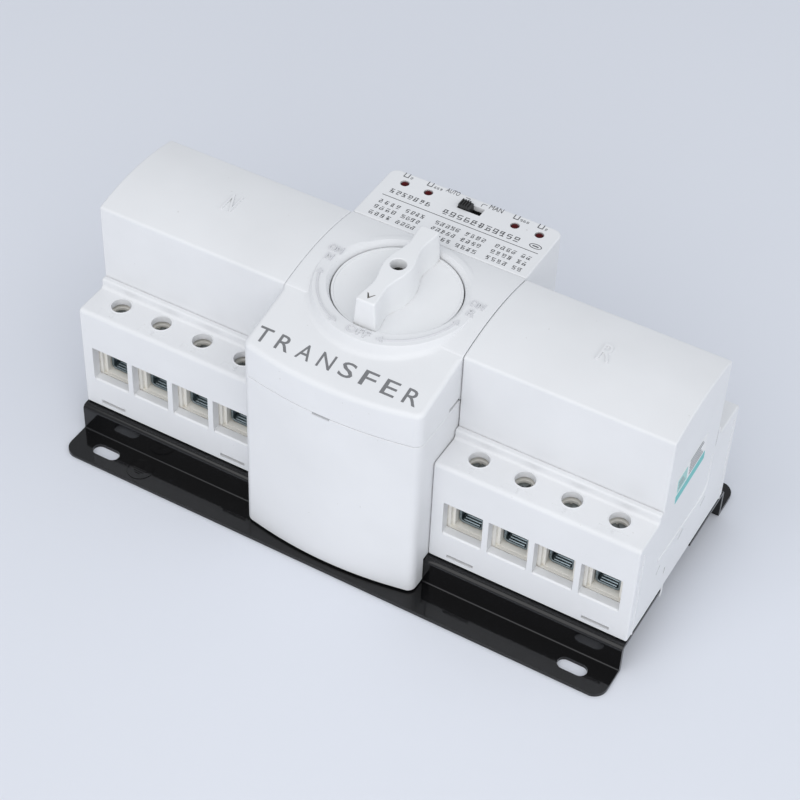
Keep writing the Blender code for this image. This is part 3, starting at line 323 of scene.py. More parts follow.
def add_crowned_block(bm, half, bottom, top, steps=4, foot=0.0):
    """Block whose plan is half, mirrored about x = 0, and whose top edge is rounded.

    half runs from the front to the rear at x > 0 as (x, y, edge radius); top gives z at a y.
    Opposite points have the same y, so the top is made of strips across the block.
    foot is the size of the chamfer around its bottom edge."""
    full = half + [(-x, y, radius) for x, y, radius in reversed(half)]
    count = len(full)
    normals = []
    for index in range(count):
        ahead = Vector(full[(index + 1) % count][:2]) - Vector(full[index][:2])
        behind = Vector(full[index][:2]) - Vector(full[index - 1][:2])
        tangent = (ahead.normalized() + behind.normalized()).normalized()
        normals.append(Vector((tangent.y, -tangent.x)))

    def level(shrink, z):
        return [bm.verts.new((x - normal.x * shrink, y - normal.y * shrink, z))
                for (x, y, _), normal in zip(full, normals)]

    rings = [level(foot, bottom), level(foot * 0.3, bottom + foot * 0.3)] if foot > 0.0 else []
    rings.append(level(0.0, bottom + foot))
    for step in range(steps + 1):
        turn = math.radians(90.0 * step / steps)
        ring = []
        for (x, y, radius), normal in zip(full, normals):
            inner_x = x - normal.x * radius * (1.0 - math.cos(turn))
            inner_y = y - normal.y * radius * (1.0 - math.cos(turn))
            ring.append(bm.verts.new((inner_x, inner_y,
                                      top(inner_y) - radius * (1.0 - math.sin(turn)))))
        rings.append(ring)
    for lower, upper in zip(rings, rings[1:]):
        bridge(bm, lower, upper)
    bm.faces.new(list(reversed(rings[0])))
    upper = rings[-1]
    for index in range(len(half) - 1):
        bm.faces.new((upper[index], upper[index + 1], upper[count - 2 - index],
                      upper[count - 1 - index]))


def finish_mesh(bm, name):
    bmesh.ops.recalc_face_normals(bm, faces=bm.faces)
    mesh = bpy.data.meshes.new(name)
    bm.to_mesh(mesh)
    bm.free()
    return mesh


def built(name, adder, *sizes, **options):
    """One mesh made by calling adder once."""
    bm = bmesh.new()
    adder(bm, *sizes, **options)
    return finish_mesh(bm, name)


def linked(name, data):
    """A new object, in the scene."""
    obj = bpy.data.objects.new(name, data)
    bpy.context.scene.collection.objects.link(obj)
    return obj


def evaluated_mesh(holder):
    """Mesh of an object as its modifiers or its font make it. The object is used up."""
    bpy.context.view_layer.update()
    evaluated = holder.evaluated_get(bpy.context.evaluated_depsgraph_get())
    mesh = bpy.data.meshes.new_from_object(evaluated)
    bpy.data.objects.remove(holder, do_unlink=True)
    return mesh


def bake(mesh, kind, **settings):
    """The mesh after one modifier."""
    holder = linked("baking", mesh)
    modifier = holder.modifiers.new("step", kind)
    for key, value in settings.items():
        setattr(modifier, key, value)
    result = evaluated_mesh(holder)
    result.name = mesh.name
    bpy.data.meshes.remove(mesh)
    return result


def combine(mesh, tool, operation):
    cutter = linked("tool", tool)
    result = bake(mesh, "BOOLEAN", object=cutter, operation=operation, solver="EXACT")
    bpy.data.objects.remove(cutter, do_unlink=True)
    bpy.data.meshes.remove(tool)
    return result


def cut(mesh, *tools):
    for tool in tools:
        mesh = combine(mesh, tool, "DIFFERENCE")
    return mesh


def join(mesh, *tools):
    for tool in tools:
        mesh = combine(mesh, tool, "UNION")
    return mesh


def soften(mesh, width, degrees=50.0, segments=2):
    """Round the edges that are sharper than degrees."""
    return bake(mesh, "BEVEL", width=width, segments=segments, limit_method="ANGLE",
                angle_limit=math.radians(degrees), miter_outer="MITER_ARC", use_clamp_overlap=True)


def make_piece(name, mesh, finish, body, stands_for=(), smooth=32.0,
               location=(0.0, 0.0, 0.0), turn=0.0):
    """A piece from a mesh in millimetres. A mesh may be used by several pieces."""
    if not mesh.get("in_metres"):
        mesh.transform(Matrix.Scale(MM, 4))
        mesh["in_metres"] = True
        mesh.shade_smooth()
        mesh.set_sharp_from_angle(angle=math.radians(smooth))
        mesh.materials.clear()
        mesh.materials.append(finish)
    obj = linked(name, mesh)
    obj.location = Vector(location) * MM
    obj.rotation_euler.z = turn
    modifier = obj.modifiers.new("normals", "WEIGHTED_NORMAL")
    modifier.keep_sharp = True
    modifier.weight = 60
    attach(obj, body)
    if stands_for:
        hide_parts(*stands_for)


def add_ridge(bm, points, across, up, width, height):
    """Raised line of triangular section along points; across and up are unit vectors at each."""
    rings = []
    for point, side, lift in zip(points, across, up):
        here, side, lift = Vector(point), Vector(side), Vector(lift)
        rings.append([bm.verts.new(here - side * width / 2.0 - lift * height * 0.5),
                      bm.verts.new(here - side * width * 0.22 + lift * height),
                      bm.verts.new(here + side * width * 0.22 + lift * height),
                      bm.verts.new(here + side * width / 2.0 - lift * height * 0.5)])
    skin(bm, rings)


def drape(mesh, height):
    """Lift each vertex of a flat mesh by the height of the surface under it."""
    for vertex in mesh.vertices:
        vertex.co.z += height(vertex.co.x, vertex.co.y)
    return mesh


def merged(name, *meshes):
    """Several meshes that don't touch, as one."""
    bm = bmesh.new()
    for mesh in meshes:
        bm.from_mesh(mesh)
        bpy.data.meshes.remove(mesh)
    return finish_mesh(bm, name)


def text_mesh(text, width, height, thickness, centre, bold=0.0):
    """Raised lettering of a given size lying flat, with its underside at centre's z."""
    curve = bpy.data.curves.new("lettering", "FONT")
    curve.body = text
    curve.size = height
    curve.extrude = thickness / 2.0
    curve.offset = bold
    curve.resolution_u = 3
    mesh = evaluated_mesh(linked("lettering", curve))
    bpy.data.curves.remove(curve)
    bm = bmesh.new()
    bm.from_mesh(mesh)
    bpy.data.meshes.remove(mesh)
    bmesh.ops.remove_doubles(bm, verts=bm.verts, dist=1e-4)
    low = Vector(min(v.co[axis] for v in bm.verts) for axis in range(3))
    high = Vector(max(v.co[axis] for v in bm.verts) for axis in range(3))
    size = high - low
    for vertex in bm.verts:
        share = [(vertex.co[axis] - low[axis]) / size[axis] for axis in range(3)]
        vertex.co = (centre[0] + (share[0] - 0.5) * width, centre[1] + (share[1] - 0.5) * height,
                     centre[2] + share[2] * thickness)
    return finish_mesh(bm, "lettering")


# ---------------------------------------------------------------- materials

def add_node(tree, kind, **settings):
    node = tree.nodes.new(kind)
    for key, value in settings.items():
        if key in node.inputs:
            node.inputs[key].default_value = value
        else:
            setattr(node, key, value)
    return node


def new_material(name):
    made = bpy.data.materials.new(name)
    made.use_nodes = True
    tree = made.node_tree
    return made, tree, tree.nodes["Principled BSDF"]


def object_noise(tree, scale, detail=4.0, roughness=0.55):
    """Noise that stays with the piece; scale is in cycles per metre."""
    coordinates = add_node(tree, "ShaderNodeTexCoord")
    noise = add_node(tree, "ShaderNodeTexNoise", Scale=scale, Detail=detail, Roughness=roughness)
    tree.links.new(coordinates.outputs["Object"], noise.inputs["Vector"])
    return noise.outputs["Fac"]


def ramp(tree, value, stops):
    """Colour ramp over a value; stops are (position, grey) pairs."""
    node = tree.nodes.new("ShaderNodeValToRGB")
    elements = node.color_ramp.elements
    for element, (position, grey) in zip(elements, stops):
        element.position = position
        element.color = (grey, grey, grey, 1.0)
    tree.links.new(value, node.inputs["Fac"])
    return node.outputs["Color"]


def feed(tree, socket, value):
    """Give a socket another node's output, a number or a colour."""
    if isinstance(value, bpy.types.NodeSocket):
        tree.links.new(value, socket)
    elif isinstance(value, float):
        socket.default_value = value
    else:
        socket.default_value = (*value, 1.0)


def mix_colours(tree, factor, first, second):
    node = tree.nodes.new("ShaderNodeMix")
    node.data_type = "RGBA"
    colours = [s for s in node.inputs if s.type == "RGBA"]
    factors = [s for s in node.inputs if s.type == "VALUE"]
    feed(tree, factors[0], factor)
    feed(tree, colours[0], first)
    feed(tree, colours[1], second)
    return [s for s in node.outputs if s.type == "RGBA"][0]


def multiply(tree, first, second):
    node = add_node(tree, "ShaderNodeMath", operation="MULTIPLY")
    feed(tree, node.inputs[0], first)
    feed(tree, node.inputs[1], second)
    return node.outputs["Value"]


def finish_surface(tree, shader, colour, low, high, noise, grain=None):
    """Base colour, roughness that drifts from low to high with noise, and a fine bump.

    grain is the bump's noise, strength and distance."""
    feed(tree, shader.inputs["Base Color"], colour)
    rough = add_node(tree, "ShaderNodeMapRange", **{"To Min": low, "To Max": high})
    tree.links.new(noise, rough.inputs["Value"])
    tree.links.new(rough.outputs["Result"], shader.inputs["Roughness"])
    if grain:
        height, strength, distance = grain
        bump = add_node(tree, "ShaderNodeBump", Strength=strength, Distance=distance)
        tree.links.new(height, bump.inputs["Height"])
        tree.links.new(bump.outputs["Normal"], shader.inputs["Normal"])


def moulded_plastic(name, colour, roughness, dirt_and_shade=(0.30, 0.27, 0.22), corner_shade_and_grime=0.35, specks=0.5,
                    texture=0.06, subsurface=0.0):
    """Moulded plastic: slight tone drift, fine surface texture, sparse specks, and corners darkened
    through an occlusion mask, part grime and part painted shade.
    """
    made, tree, shader = new_material(name)
    drift = ramp(tree, object_noise(tree, 22.0, 3.0), ((0.35, 0.0), (0.65, 1.0)))
    tone = mix_colours(tree, drift, tuple(0.955 * part for part in colour), colour)
    # Painted shade: an occlusion mask over 1.2 mm darkens corners and crevices towards the dark colour,
    # broken up by noise patches of grime.
    occlusion = add_node(tree, "ShaderNodeAmbientOcclusion", Distance=0.0012)
    occlusion.samples = 6
    corner = ramp(tree, occlusion.outputs["AO"], ((0.30, 1.0), (0.72, 0.0)))
    patches = ramp(tree, object_noise(tree, 260.0, 5.0, 0.7), ((0.42, 0.0), (0.68, 1.0)))
    shade_and_grime_amount = multiply(tree, multiply(tree, corner, patches), corner_shade_and_grime)
    with_shade_and_grime = mix_colours(tree, shade_and_grime_amount, tone, dirt_and_shade)
    speck = ramp(tree, object_noise(tree, 620.0, 1.0, 0.4), ((0.80, 0.0), (0.825, 1.0)))
    with_specks = mix_colours(tree, multiply(tree, speck, specks), with_shade_and_grime, dirt_and_shade)
    finish_surface(tree, shader, with_specks, roughness - 0.05, roughness + 0.07,
                   object_noise(tree, 90.0, 4.0), (object_noise(tree, 2600.0, 2.0), texture, 0.0001))
    shader.inputs["IOR"].default_value = 1.49
    if subsurface > 0.0:
        shader.inputs["Subsurface Weight"].default_value = subsurface
        shader.inputs["Subsurface Radius"].default_value = (1.0, 0.9, 0.8)
        shader.inputs["Subsurface Scale"].default_value = 0.0012
    return made


def black_paint():
    """Glossy black paint on sheet steel, with patches of dust and a faint orange peel."""
    made, tree, shader = new_material("black_paint_finish")
    dust = ramp(tree, object_noise(tree, 900.0, 6.0, 0.75), ((0.60, 0.0), (0.82, 1.0)))
    patches = ramp(tree, object_noise(tree, 60.0, 4.0, 0.6), ((0.45, 0.0), (0.75, 0.45)))
    colour = mix_colours(tree, multiply(tree, dust, patches), (0.0045, 0.0045, 0.005),
                         (0.12, 0.115, 0.11))
    finish_surface(tree, shader, colour, 0.05, 0.12, object_noise(tree, 140.0, 5.0, 0.65),
                   (object_noise(tree, 1200.0, 3.0), 0.05, 0.0001))
    shader.inputs["Specular IOR Level"].default_value = 0.46
    return made


def metal(name, colour, roughness, stain=(0.16, 0.15, 0.13), staining=0.4):
    """Plated or bare metal with brushed bump, roughness variation and stains."""
    made, tree, shader = new_material(name)
    stains = ramp(tree, object_noise(tree, 420.0, 5.0, 0.7), ((0.50, 0.0), (0.85, staining)))
    finish_surface(tree, shader, mix_colours(tree, stains, colour, stain), roughness - 0.08,
                   roughness + 0.15, object_noise(tree, 700.0, 4.0),
                   (object_noise(tree, 3200.0, 2.0), 0.12, 0.00008))
    shader.inputs["Metallic"].default_value = 1.0
    return made


def lens_red():
    made, tree, shader = new_material("lamp_red_finish")
    cloud = ramp(tree, object_noise(tree, 1400.0, 3.0), ((0.3, 0.0), (0.7, 1.0)))
    finish_surface(tree, shader, mix_colours(tree, cloud, (0.03, 0.001, 0.002), (0.09, 0.003, 0.004)),
                   0.12, 0.25, object_noise(tree, 900.0))
    shader.inputs["Specular IOR Level"].default_value = 0.15
    return made


def print_ink(name, colour):
    """Printed ink, slightly worn."""
    made, tree, shader = new_material(name)
    wear = ramp(tree, object_noise(tree, 1500.0, 4.0, 0.7), ((0.58, 0.0), (0.85, 0.5)))
    finish_surface(tree, shader, mix_colours(tree, wear, colour, (0.55, 0.56, 0.58)), 0.45, 0.6,
                   object_noise(tree, 300.0), (object_noise(tree, 2600.0, 2.0), 0.05, 0.0001))
    return made


# Each grime amount below darkens corners and crevices through an occlusion mask: part grime, part
# painted shade.
WHITE = moulded_plastic("white_case_finish", (0.800, 0.808, 0.822), 0.40, corner_shade_and_grime=0.22, specks=0.28)
# Painted shade: the raised dial marks are moulded in the cap's white; this greyer white stands in for
# the shading that sets them off.
SHADED_MARK_WHITE = moulded_plastic("dial_mark_painted_shade_finish", (0.70, 0.705, 0.725), 0.42, corner_shade_and_grime=0.0, specks=0.0)
KNOB_WHITE = moulded_plastic("knob_finish", (0.850, 0.858, 0.868), 0.34, corner_shade_and_grime=0.55, specks=0.4)
IVORY = moulded_plastic("ivory_finish", (0.83, 0.81, 0.755), 0.50, corner_shade_and_grime=0.75, specks=0.8,
                        dirt_and_shade=(0.36, 0.29, 0.20))
NYLON = moulded_plastic("nylon_finish", (0.72, 0.70, 0.62), 0.48, subsurface=0.1)
BLACK = moulded_plastic("black_plastic_finish", (0.018, 0.018, 0.019), 0.42, corner_shade_and_grime=0.1, specks=0.1)
BOARD = moulded_plastic("board_finish", (0.03, 0.17, 0.07), 0.35, corner_shade_and_grime=0.2)
PAINT = black_paint()
STEEL = metal("zinc_steel_finish", (0.50, 0.53, 0.55), 0.30)
SCREW_STEEL = metal("screw_steel_finish", (0.26, 0.28, 0.28), 0.34)
DARK_STEEL = metal("clamp_steel_finish", (0.24, 0.29, 0.315), 0.26)
BLACKENED_STEEL = metal("blackened_steel_finish", (0.045, 0.045, 0.04), 0.4)
LENS = lens_red()
INK = print_ink("grey_ink_finish", (0.095, 0.095, 0.100))
CAP_INK = print_ink("cap_ink_finish", (0.185, 0.188, 0.195))
LABEL = moulded_plastic("label_finish", (0.84, 0.845, 0.85), 0.55, corner_shade_and_grime=0.2, specks=0.2)
TEAL = print_ink("teal_ink_finish", (0.16, 0.52, 0.52))
PALE_TEAL = print_ink("pale_teal_ink_finish", (0.36, 0.62, 0.60))
# Dark fill: dirt in the knob's arrow, and painted shade in the units' side grooves and end-wall slits.
DIRT_AND_GROOVE_SHADE = print_ink("dirt_and_groove_shade_finish", (0.13, 0.12, 0.105))
GREY = print_ink("pale_grey_ink_finish", (0.24, 0.25, 0.26))


# ---------------------------------------------------------------- base plate

def hat_section():
    """Outline in (y, z) of the bent plate, with its bends rounded inside and out."""
    edge = corners("base_plate")[1].y
    wall = PLATFORM_HALF_DEPTH
    sheet = PLATE_THICKNESS
    top = PLATFORM_TOP
    inner_bend = PLATE_BEND - sheet
    right = [(edge, 0.0, 0.3), (edge, sheet, 0.3), (wall, sheet, FLANGE_FILLET),
             (wall, top, PLATE_BEND)]
    left = [(-corner[0],) + corner[1:] for corner in reversed(right)]
    inside = [(-wall + sheet, 0.0, 0.5), (-wall + sheet, top - sheet, inner_bend),
              (wall - sheet, top - sheet, inner_bend), (wall - sheet, 0.0, 0.5)]
    return rounded(right + left + inside, 12.0)


def flange_corner_waste(x, y, side_x, side_y):
    """What lies outside a flange's rounded corner at (x, y)."""
    centre = (x - side_x * FLANGE_CORNER, y - side_y * FLANGE_CORNER)
    spare = 1.0
    points = [(centre[0] + side_x * FLANGE_CORNER * math.cos(math.radians(turn)),
               centre[1] + side_y * FLANGE_CORNER * math.sin(math.radians(turn)))
              for turn in range(0, 91, 9)]
    return points + [(points[-1][0], y + side_y * spare), (x + side_x * spare, y + side_y * spare),
                     (x + side_x * spare, points[0][1])]


def earth_mark(centre, radius):
    """Raised ring with the three-bar earth symbol inside."""
    x, y, z = centre
    low, high = z - 0.2, z + 0.28
    ring = [(radius - 0.32, low), (radius + 0.32, low), (radius + 0.2, high), (radius - 0.2, high)]
    parts = [built("ring", add_turned, ring, (x, y), 48)]
    for width, offset in ((3.1, -0.2), (2.1, -1.1), (1.1, -2.0)):
        parts.append(built("bar", add_box, about(x, width), (y + offset - 0.2, y + offset + 0.2),
                           (low, high)))
    parts.append(built("stem", add_box, about(x, 0.2), (y - 0.2, y + 2.6), (low, high)))
    return parts


def make_plate():
    low, high = corners("base_plate")
    mesh = built("plate", add_prism, hat_section(), "x", low.x, high.x)
    waste = bmesh.new()
    for side_x in (-1, 1):
        for side_y in (-1, 1):
            slot = slot_outline(side_x * (high.x - SLOT_INSET_X), side_y * (high.y - SLOT_INSET_Y),
                                SLOT_LENGTH, SLOT_WIDTH)
            add_prism(waste, slot, "z", -2.0, 4.0)
            add_prism(waste, flange_corner_waste(side_x * high.x, side_y * high.y, side_x, side_y),
                      "z", -2.0, 4.0)
        add_box(waste, (side_x * (high.x - NOTCH_DEPTH), side_x * (high.x + NOTCH_DEPTH)),
                (-NOTCH_HALF_WIDTH, NOTCH_HALF_WIDTH), (PLATFORM_TOP / 2.0, PLATFORM_TOP * 1.5))
    mesh = soften(cut(mesh, finish_mesh(waste, "waste")), 0.3, 40.0)
    mesh = join(mesh, *earth_mark((*EARTH_MARK, PLATE_THICKNESS), 5.0))
    make_piece("plate_painted", mesh, PAINT, "frame", ("base_plate",))


# ---------------------------------------------------------------- switch units

def pole_centres(letter):
    low, high = corners(letter + "_enclosure")
    middle = (low.x + high.x) / 2.0
    return [middle + (index - (POLES - 1) / 2.0) * POLE_PITCH for index in range(POLES)]


def hood_line(offset, steps=24):
    """The arch of a hood, or of the inside of a hood when offset is its wall."""
    return crowned_line((HOOD_FRONT + offset, HOOD_FRONT_TOP - offset),
                        (HOOD_REAR - offset, HOOD_REAR_TOP - offset), HOOD_CREST, steps)


def enclosure_outline(depth, foot):
    """Side view of a unit's shell: end walls, shoulders, lips and hood."""
    arch = hood_line(0.0)
    front = [(-depth, foot, 0.9), (-depth, SHOULDER_TOP, 1.7), (LIP_FRONT, SHOULDER_TOP, 1.3),
             (LIP_FRONT, LIP_TOP, 0.9), (HOOD_FRONT, LIP_TOP)]
    rear = [(HOOD_REAR, LIP_TOP), (LIP_REAR, LIP_TOP, 0.9),
            (LIP_REAR, SHOULDER_TOP, 1.3), (depth, SHOULDER_TOP, 1.7), (depth, foot, 0.9)]
    roof = [(*arch[0], HOOD_ROUND)] + arch[2:-2] + [(*arch[-1], HOOD_ROUND)]
    return rounded(front + roof + rear, 15.0)


def screw_hole():
    """Profile (radius, z) of the cutter for a clamp screw hole, up through its rim."""
    top = SHOULDER_TOP
    return [(0.0, top - 2.0 * SHOULDER_WALL), (SCREW_HOLE, top - 2.0 * SHOULDER_WALL),
            (SCREW_HOLE, top - 0.05), (SCREW_HOLE + 0.12, top + 0.16),
            (SCREW_HOLE + 0.12, top + 2.2), (0.0, top + 2.2)]


def screw_rim():
    """Profile (radius, z) of the low ring around a clamp screw hole."""
    top = SHOULDER_TOP
    return [(SCREW_HOLE - 0.3, top - 0.4), (SCREW_HOLE + 0.6, top - 0.4),
            (SCREW_HOLE + 0.58, top + 0.02), (SCREW_HOLE + 0.42, top + 0.16),
            (SCREW_HOLE - 0.3, top + 0.16)]


def window_cutter(x, facing, face):
    """Opening of a wire window, with a bevel along its lower edge."""
    edge = 0.6
    plan = rounded_box((x - WINDOW_HALF_WIDTH, WINDOW_BOTTOM),
                       (x + WINDOW_HALF_WIDTH, WINDOW_TOP), 0.3, 30.0)
    opening = built("window", add_prism, plan, "y", face - facing * 1.5 * END_WALL,
                    face + facing * 2.0)
    bevel = [(face - facing * edge, WINDOW_BOTTOM + 0.01), (face + facing * edge, WINDOW_BOTTOM + 0.01),
             (face + facing * edge, WINDOW_BOTTOM - 2.0 * edge)]
    reach = WINDOW_HALF_WIDTH - 0.4
    return opening, built("bevel", add_prism, bevel, "x", x - reach, x + reach)


def side_lines(face, side):
    """Raised moulding lines on the outer side wall of a unit."""
    bm = bmesh.new()
    curve = [(19.1, 55.0), (19.3, 48.0), (19.4, 40.7), (17.8, 38.0), (14.8, 36.6), (11.7, 36.3),
             (0.0, 36.9), (-12.0, 37.6), (-22.5, 38.3)]
    edges = [[(-37.9, 56.0), (-37.9, 14.5)], [(38.3, 56.0), (38.3, 14.5)]]
    for line, width in [(curve, 1.0)] + [(edge, 0.7) for edge in edges]:
        points = [(face, y, z) for y, z in line]
        across = []
        for index in range(len(line)):
            before = Vector(line[max(0, index - 1)])
            after = Vector(line[min(len(line) - 1, index + 1)])
            along = (after - before).normalized()
            across.append((0.0, -along.y, along.x))
        add_ridge(bm, points, across, [(side, 0.0, 0.0)] * len(line), width, 0.38)
    return finish_mesh(bm, "side_lines")


def add_side_dashes(bm, start_x, end_x):
    """Four short bars where a unit's outer side wall has its short grooves."""
    ends = (((0.2, 33.4), (-3.5, 31.2)), ((-18.9, 32.4), (-21.5, 29.7)),
            ((-12.6, 25.6), (-13.2, 22.4)), ((19.9, 32.4), (16.2, 30.3)))
    for start, end in ends:
        along = Vector((end[0] - start[0], end[1] - start[1])).normalized()
        across = Vector((-along.y, along.x)) * 0.42
        plan = [(point[0] + sign * across.x, point[1] + sign * across.y)
                for point, sign in ((start, 1.0), (start, -1.0), (end, -1.0), (end, 1.0))]
        add_prism(bm, plan, "x", start_x, end_x)


def enclosure_hollow(depth, start, end):
    """Inside of a unit's shell."""
    ceiling = SHOULDER_TOP - SHOULDER_WALL
    roof = hood_line(HOOD_WALL)
    outline = [(-depth, 0.0), (-depth, ceiling), (roof[0][0], ceiling)] + roof
    outline += [(roof[-1][0], ceiling), (depth, ceiling), (depth, 0.0)]
    return built("hollow", add_prism, outline, "x", start, end)


def add_wall_openings(bm, inner, outer, side):
    """Cutters along a unit's walls: slit and short grooves outside, lines along the hood's foot."""
    slit = rounded([(20.4, 57.4, 0.4), (21.3, 57.4, 0.4), (22.3, 77.5, 0.4), (21.4, 77.5, 0.4)])
    add_prism(bm, slit, "x", outer - side * 0.8, outer + side * 1.0)
    add_side_dashes(bm, outer - side * 0.6, outer + side * 1.0)
    for wall, outward in ((HOOD_FRONT, -1.0), (HOOD_REAR, 1.0)):
        add_box(bm, (inner - side, outer + side), (wall - 0.02 * outward, wall + 0.2 * outward),
                about(LIP_TOP, 0.5))


def make_enclosure(letter, mark):
    low, high = corners(letter + "_enclosure")
    side = 1.0 if low.x > 0.0 else -1.0
    inner, outer = sorted((low.x, high.x), key=abs)
    inner -= side * SEAM
    mesh = built("enclosure", add_prism, enclosure_outline(high.y, low.z), "x", inner, outer,
                 edge=0.7)
    tools = [enclosure_hollow(high.y - END_WALL, inner + side * SIDE_WALL, outer - side * SIDE_WALL)]
    rims, openings, plaques, dirt_and_shade = [bmesh.new() for _ in range(4)]
    digits = []
    for pole, x in enumerate(pole_centres(letter)):
        for facing in (-1, 1):
            face = facing * high.y
            tools += window_cutter(x, facing, face)
            add_turned(rims, screw_rim(), (x, facing * SCREW_Y), 48)
            add_turned(openings, screw_hole(), (x, facing * SCREW_Y), 48)
            add_box(plaques, about(x, PLAQUE_HALF_WIDTH),
                    (face - facing * 2.3, face - facing * 4.6),
                    (SHOULDER_TOP - PLAQUE_DEPTH, SHOULDER_TOP + 2.0))
            digits.append(text_mesh(str(pole + 1), 1.1, 1.9, 0.25,
                                    (x, face - facing * 3.45, SHOULDER_TOP - 0.15)))
            if pole in (0, POLES - 1):
                slit_xs = about(x, SLIT_HALF_LENGTH)
                add_box(openings, slit_xs, (face - facing * 2.6, face + facing * 1.5),
                        about(SLIT_Z, SLIT_HALF_HEIGHT))
                # Painted shade: a dark strip recessed in the upper half of the slit, where its top
                # shades it.
                add_box(dirt_and_shade, slit_xs, (face - facing * 0.9, face - facing * 2.7),
                        (SLIT_Z + 0.1, SLIT_Z + SLIT_HALF_HEIGHT + 0.1))
    add_wall_openings(openings, inner, outer, side)
    tools.append(finish_mesh(openings, "openings"))
    mesh = join(mesh, finish_mesh(rims, "rims"))
    mesh = soften(cut(mesh, *tools), 0.28, 60.0)
    mesh = cut(mesh, finish_mesh(plaques, "plaques"))
    foot = built("foot", add_box, (outer - side * 1.4, outer - side * 0.2), FOOT_TAB[:2],
                 (FOOT_TAB[2], low.z + 2.0), edge=0.3)
    width, height = (4.1, 9.0) if side < 0.0 else (4.8, 8.4)
    raised = text_mesh(mark, width, height, 1.1, ((low.x + high.x) / 2.0 + 2.3, -0.3, 100.0))
    mesh = join(mesh, foot, merged("raised_marks", raised, *digits), side_lines(outer, side))
    make_piece(letter + "_enclosure_shell", mesh, WHITE, "frame", (letter + "_enclosure",))
    # Painted shade: dark inserts set into the side grooves, together with the slit strips above, make
    # this piece.
    add_side_dashes(dirt_and_shade, outer - side * 0.8, outer - side * 0.15)
    make_piece(letter + "_groove_shade", finish_mesh(dirt_and_shade, "dirt_and_shade"), DIRT_AND_GROOVE_SHADE, "frame")


def make_pole_block(letter):
    """Ivory insulator with stepped window pockets, screw wells and contact chambers."""
    low, high = corners(letter + "_pole_block")
    mesh = built("pole_block", add_box, (low.x, high.x), (low.y, high.y), (low.z, high.z))
    pockets, ledges, wells, chambers = [bmesh.new() for _ in range(4)]
    depth = high.y
    sill = WINDOW_BOTTOM + 0.3
    well = SCREW_HOLE - 0.35
    screw_well = [(0.0, CAGE_TOP - 1.2), (well, CAGE_TOP - 1.2), (well, high.z - 1.0),
                  (well + 2.6, high.z - 1.0), (well + 2.6, high.z + 3.0), (0.0, high.z + 3.0)]
    for x in pole_centres(letter):
        for facing in (-1, 1):
            outside = facing * (depth + 2.0)
            pocket = [(outside, sill), (facing * (depth - 1.2), sill),
                      (facing * (CAGE_FRONT + 0.4), CAGE_BOTTOM - 0.3),
                      (facing * (CAGE_BACK - 0.3), CAGE_BOTTOM - 0.3),
                      (facing * (CAGE_BACK - 0.3), CAGE_TOP + 0.3), (outside, CAGE_TOP + 0.3)]
            add_prism(pockets, pocket, "x", x - 5.35, x + 5.35)
            add_box(ledges, about(x, 6.6), (facing * (depth - 1.3), outside),
                    (sill - 0.2, CAGE_TOP + 0.3))
            add_turned(wells, screw_well, (x, facing * SCREW_Y), 40)
        add_box(chambers, about(x, CHAMBER_HALF_WIDTH),
                (-CHAMBER_HALF_DEPTH, CHAMBER_HALF_DEPTH), (CHAMBER_FLOOR, high.z + 3.0))
    mesh = cut(mesh, *[finish_mesh(bm, "waste") for bm in (pockets, ledges, wells, chambers)])
    make_piece(letter + "_pole_block_moulding", soften(mesh, 0.15), IVORY, "frame",
               (letter + "_pole_block",))


def clamp_mesh(facing):
    """Bent steel box clamp about its pole's centre line, with a ridged floor."""
    front, back = facing * CAGE_FRONT, facing * CAGE_BACK
    outer = rounded([(-CAGE_HALF_WIDTH, CAGE_BOTTOM, 1.9), (CAGE_HALF_WIDTH, CAGE_BOTTOM, 1.9),
                     (CAGE_HALF_WIDTH, CAGE_TOP, 1.2), (-CAGE_HALF_WIDTH, CAGE_TOP, 1.2)], 15.0)
    mesh = built("clamp", add_prism, outer, "y", front, back, edge=0.2)
    mesh = cut(mesh, built("bore", add_prism, inset(outer, 1.0), "y", front + facing * 2.0,
                           back - facing * 2.0))
    ridges = bmesh.new()
    floor = CAGE_BOTTOM + 0.9
    for index in range(7):
        middle = front - facing * (0.9 + 1.25 * index)
        ridge = [(middle - 0.45, floor - 0.2), (middle + 0.45, floor - 0.2),
                 (middle + 0.12, floor + 0.45), (middle - 0.12, floor + 0.45)]
        add_prism(ridges, ridge, "x", -3.2, 3.2)
    return soften(join(mesh, finish_mesh(ridges, "ridges")), 0.08, 60.0, 1)


def screw_mesh():
    """Combination-head clamp screw about its own axis."""
    profile = [(0.0, 39.6), (1.5, 39.6), (1.9, 40.2), (1.9, SCREW_TOP - 2.5),
               (3.2, SCREW_TOP - 2.5), (3.3, SCREW_TOP - 2.3), (3.3, SCREW_TOP - 0.3),
               (3.0, SCREW_TOP), (0.0, SCREW_TOP)]
    mesh = built("screw", add_turned, profile, segments=40)
    slot = built("slot", add_box, (-0.45, 0.45), (-4.0, 4.0), (SCREW_TOP - 0.9, SCREW_TOP + 1.0))
    cross = built("cross", add_box, (-1.7, 1.7), (-0.45, 0.45), (SCREW_TOP - 1.2, SCREW_TOP + 1.0))
    return soften(cut(mesh, slot, cross), 0.1, 60.0, 1)


def make_terminals():
    clamps = {facing: clamp_mesh(facing) for facing in (-1, 1)}
    screw = screw_mesh()
    turns = random.Random(SEED)
    for letter in ("n", "r"):
        for row, facing in (("front", -1), ("rear", 1)):
            for index, x in enumerate(pole_centres(letter)):
                name = "%s_%s_%%s_%d" % (letter, row, index + 1)
                make_piece(name % "clamp", clamps[facing], DARK_STEEL, "frame",
                           (name % "terminal",), location=(x, 0.0, 0.0))
                make_piece(name % "clamp_screw", screw, SCREW_STEEL, "frame", (name % "screw",),
                           location=(x, facing * SCREW_Y, 0.0),
                           turn=turns.uniform(-math.pi, math.pi))


# ---------------------------------------------------------------- centre unit

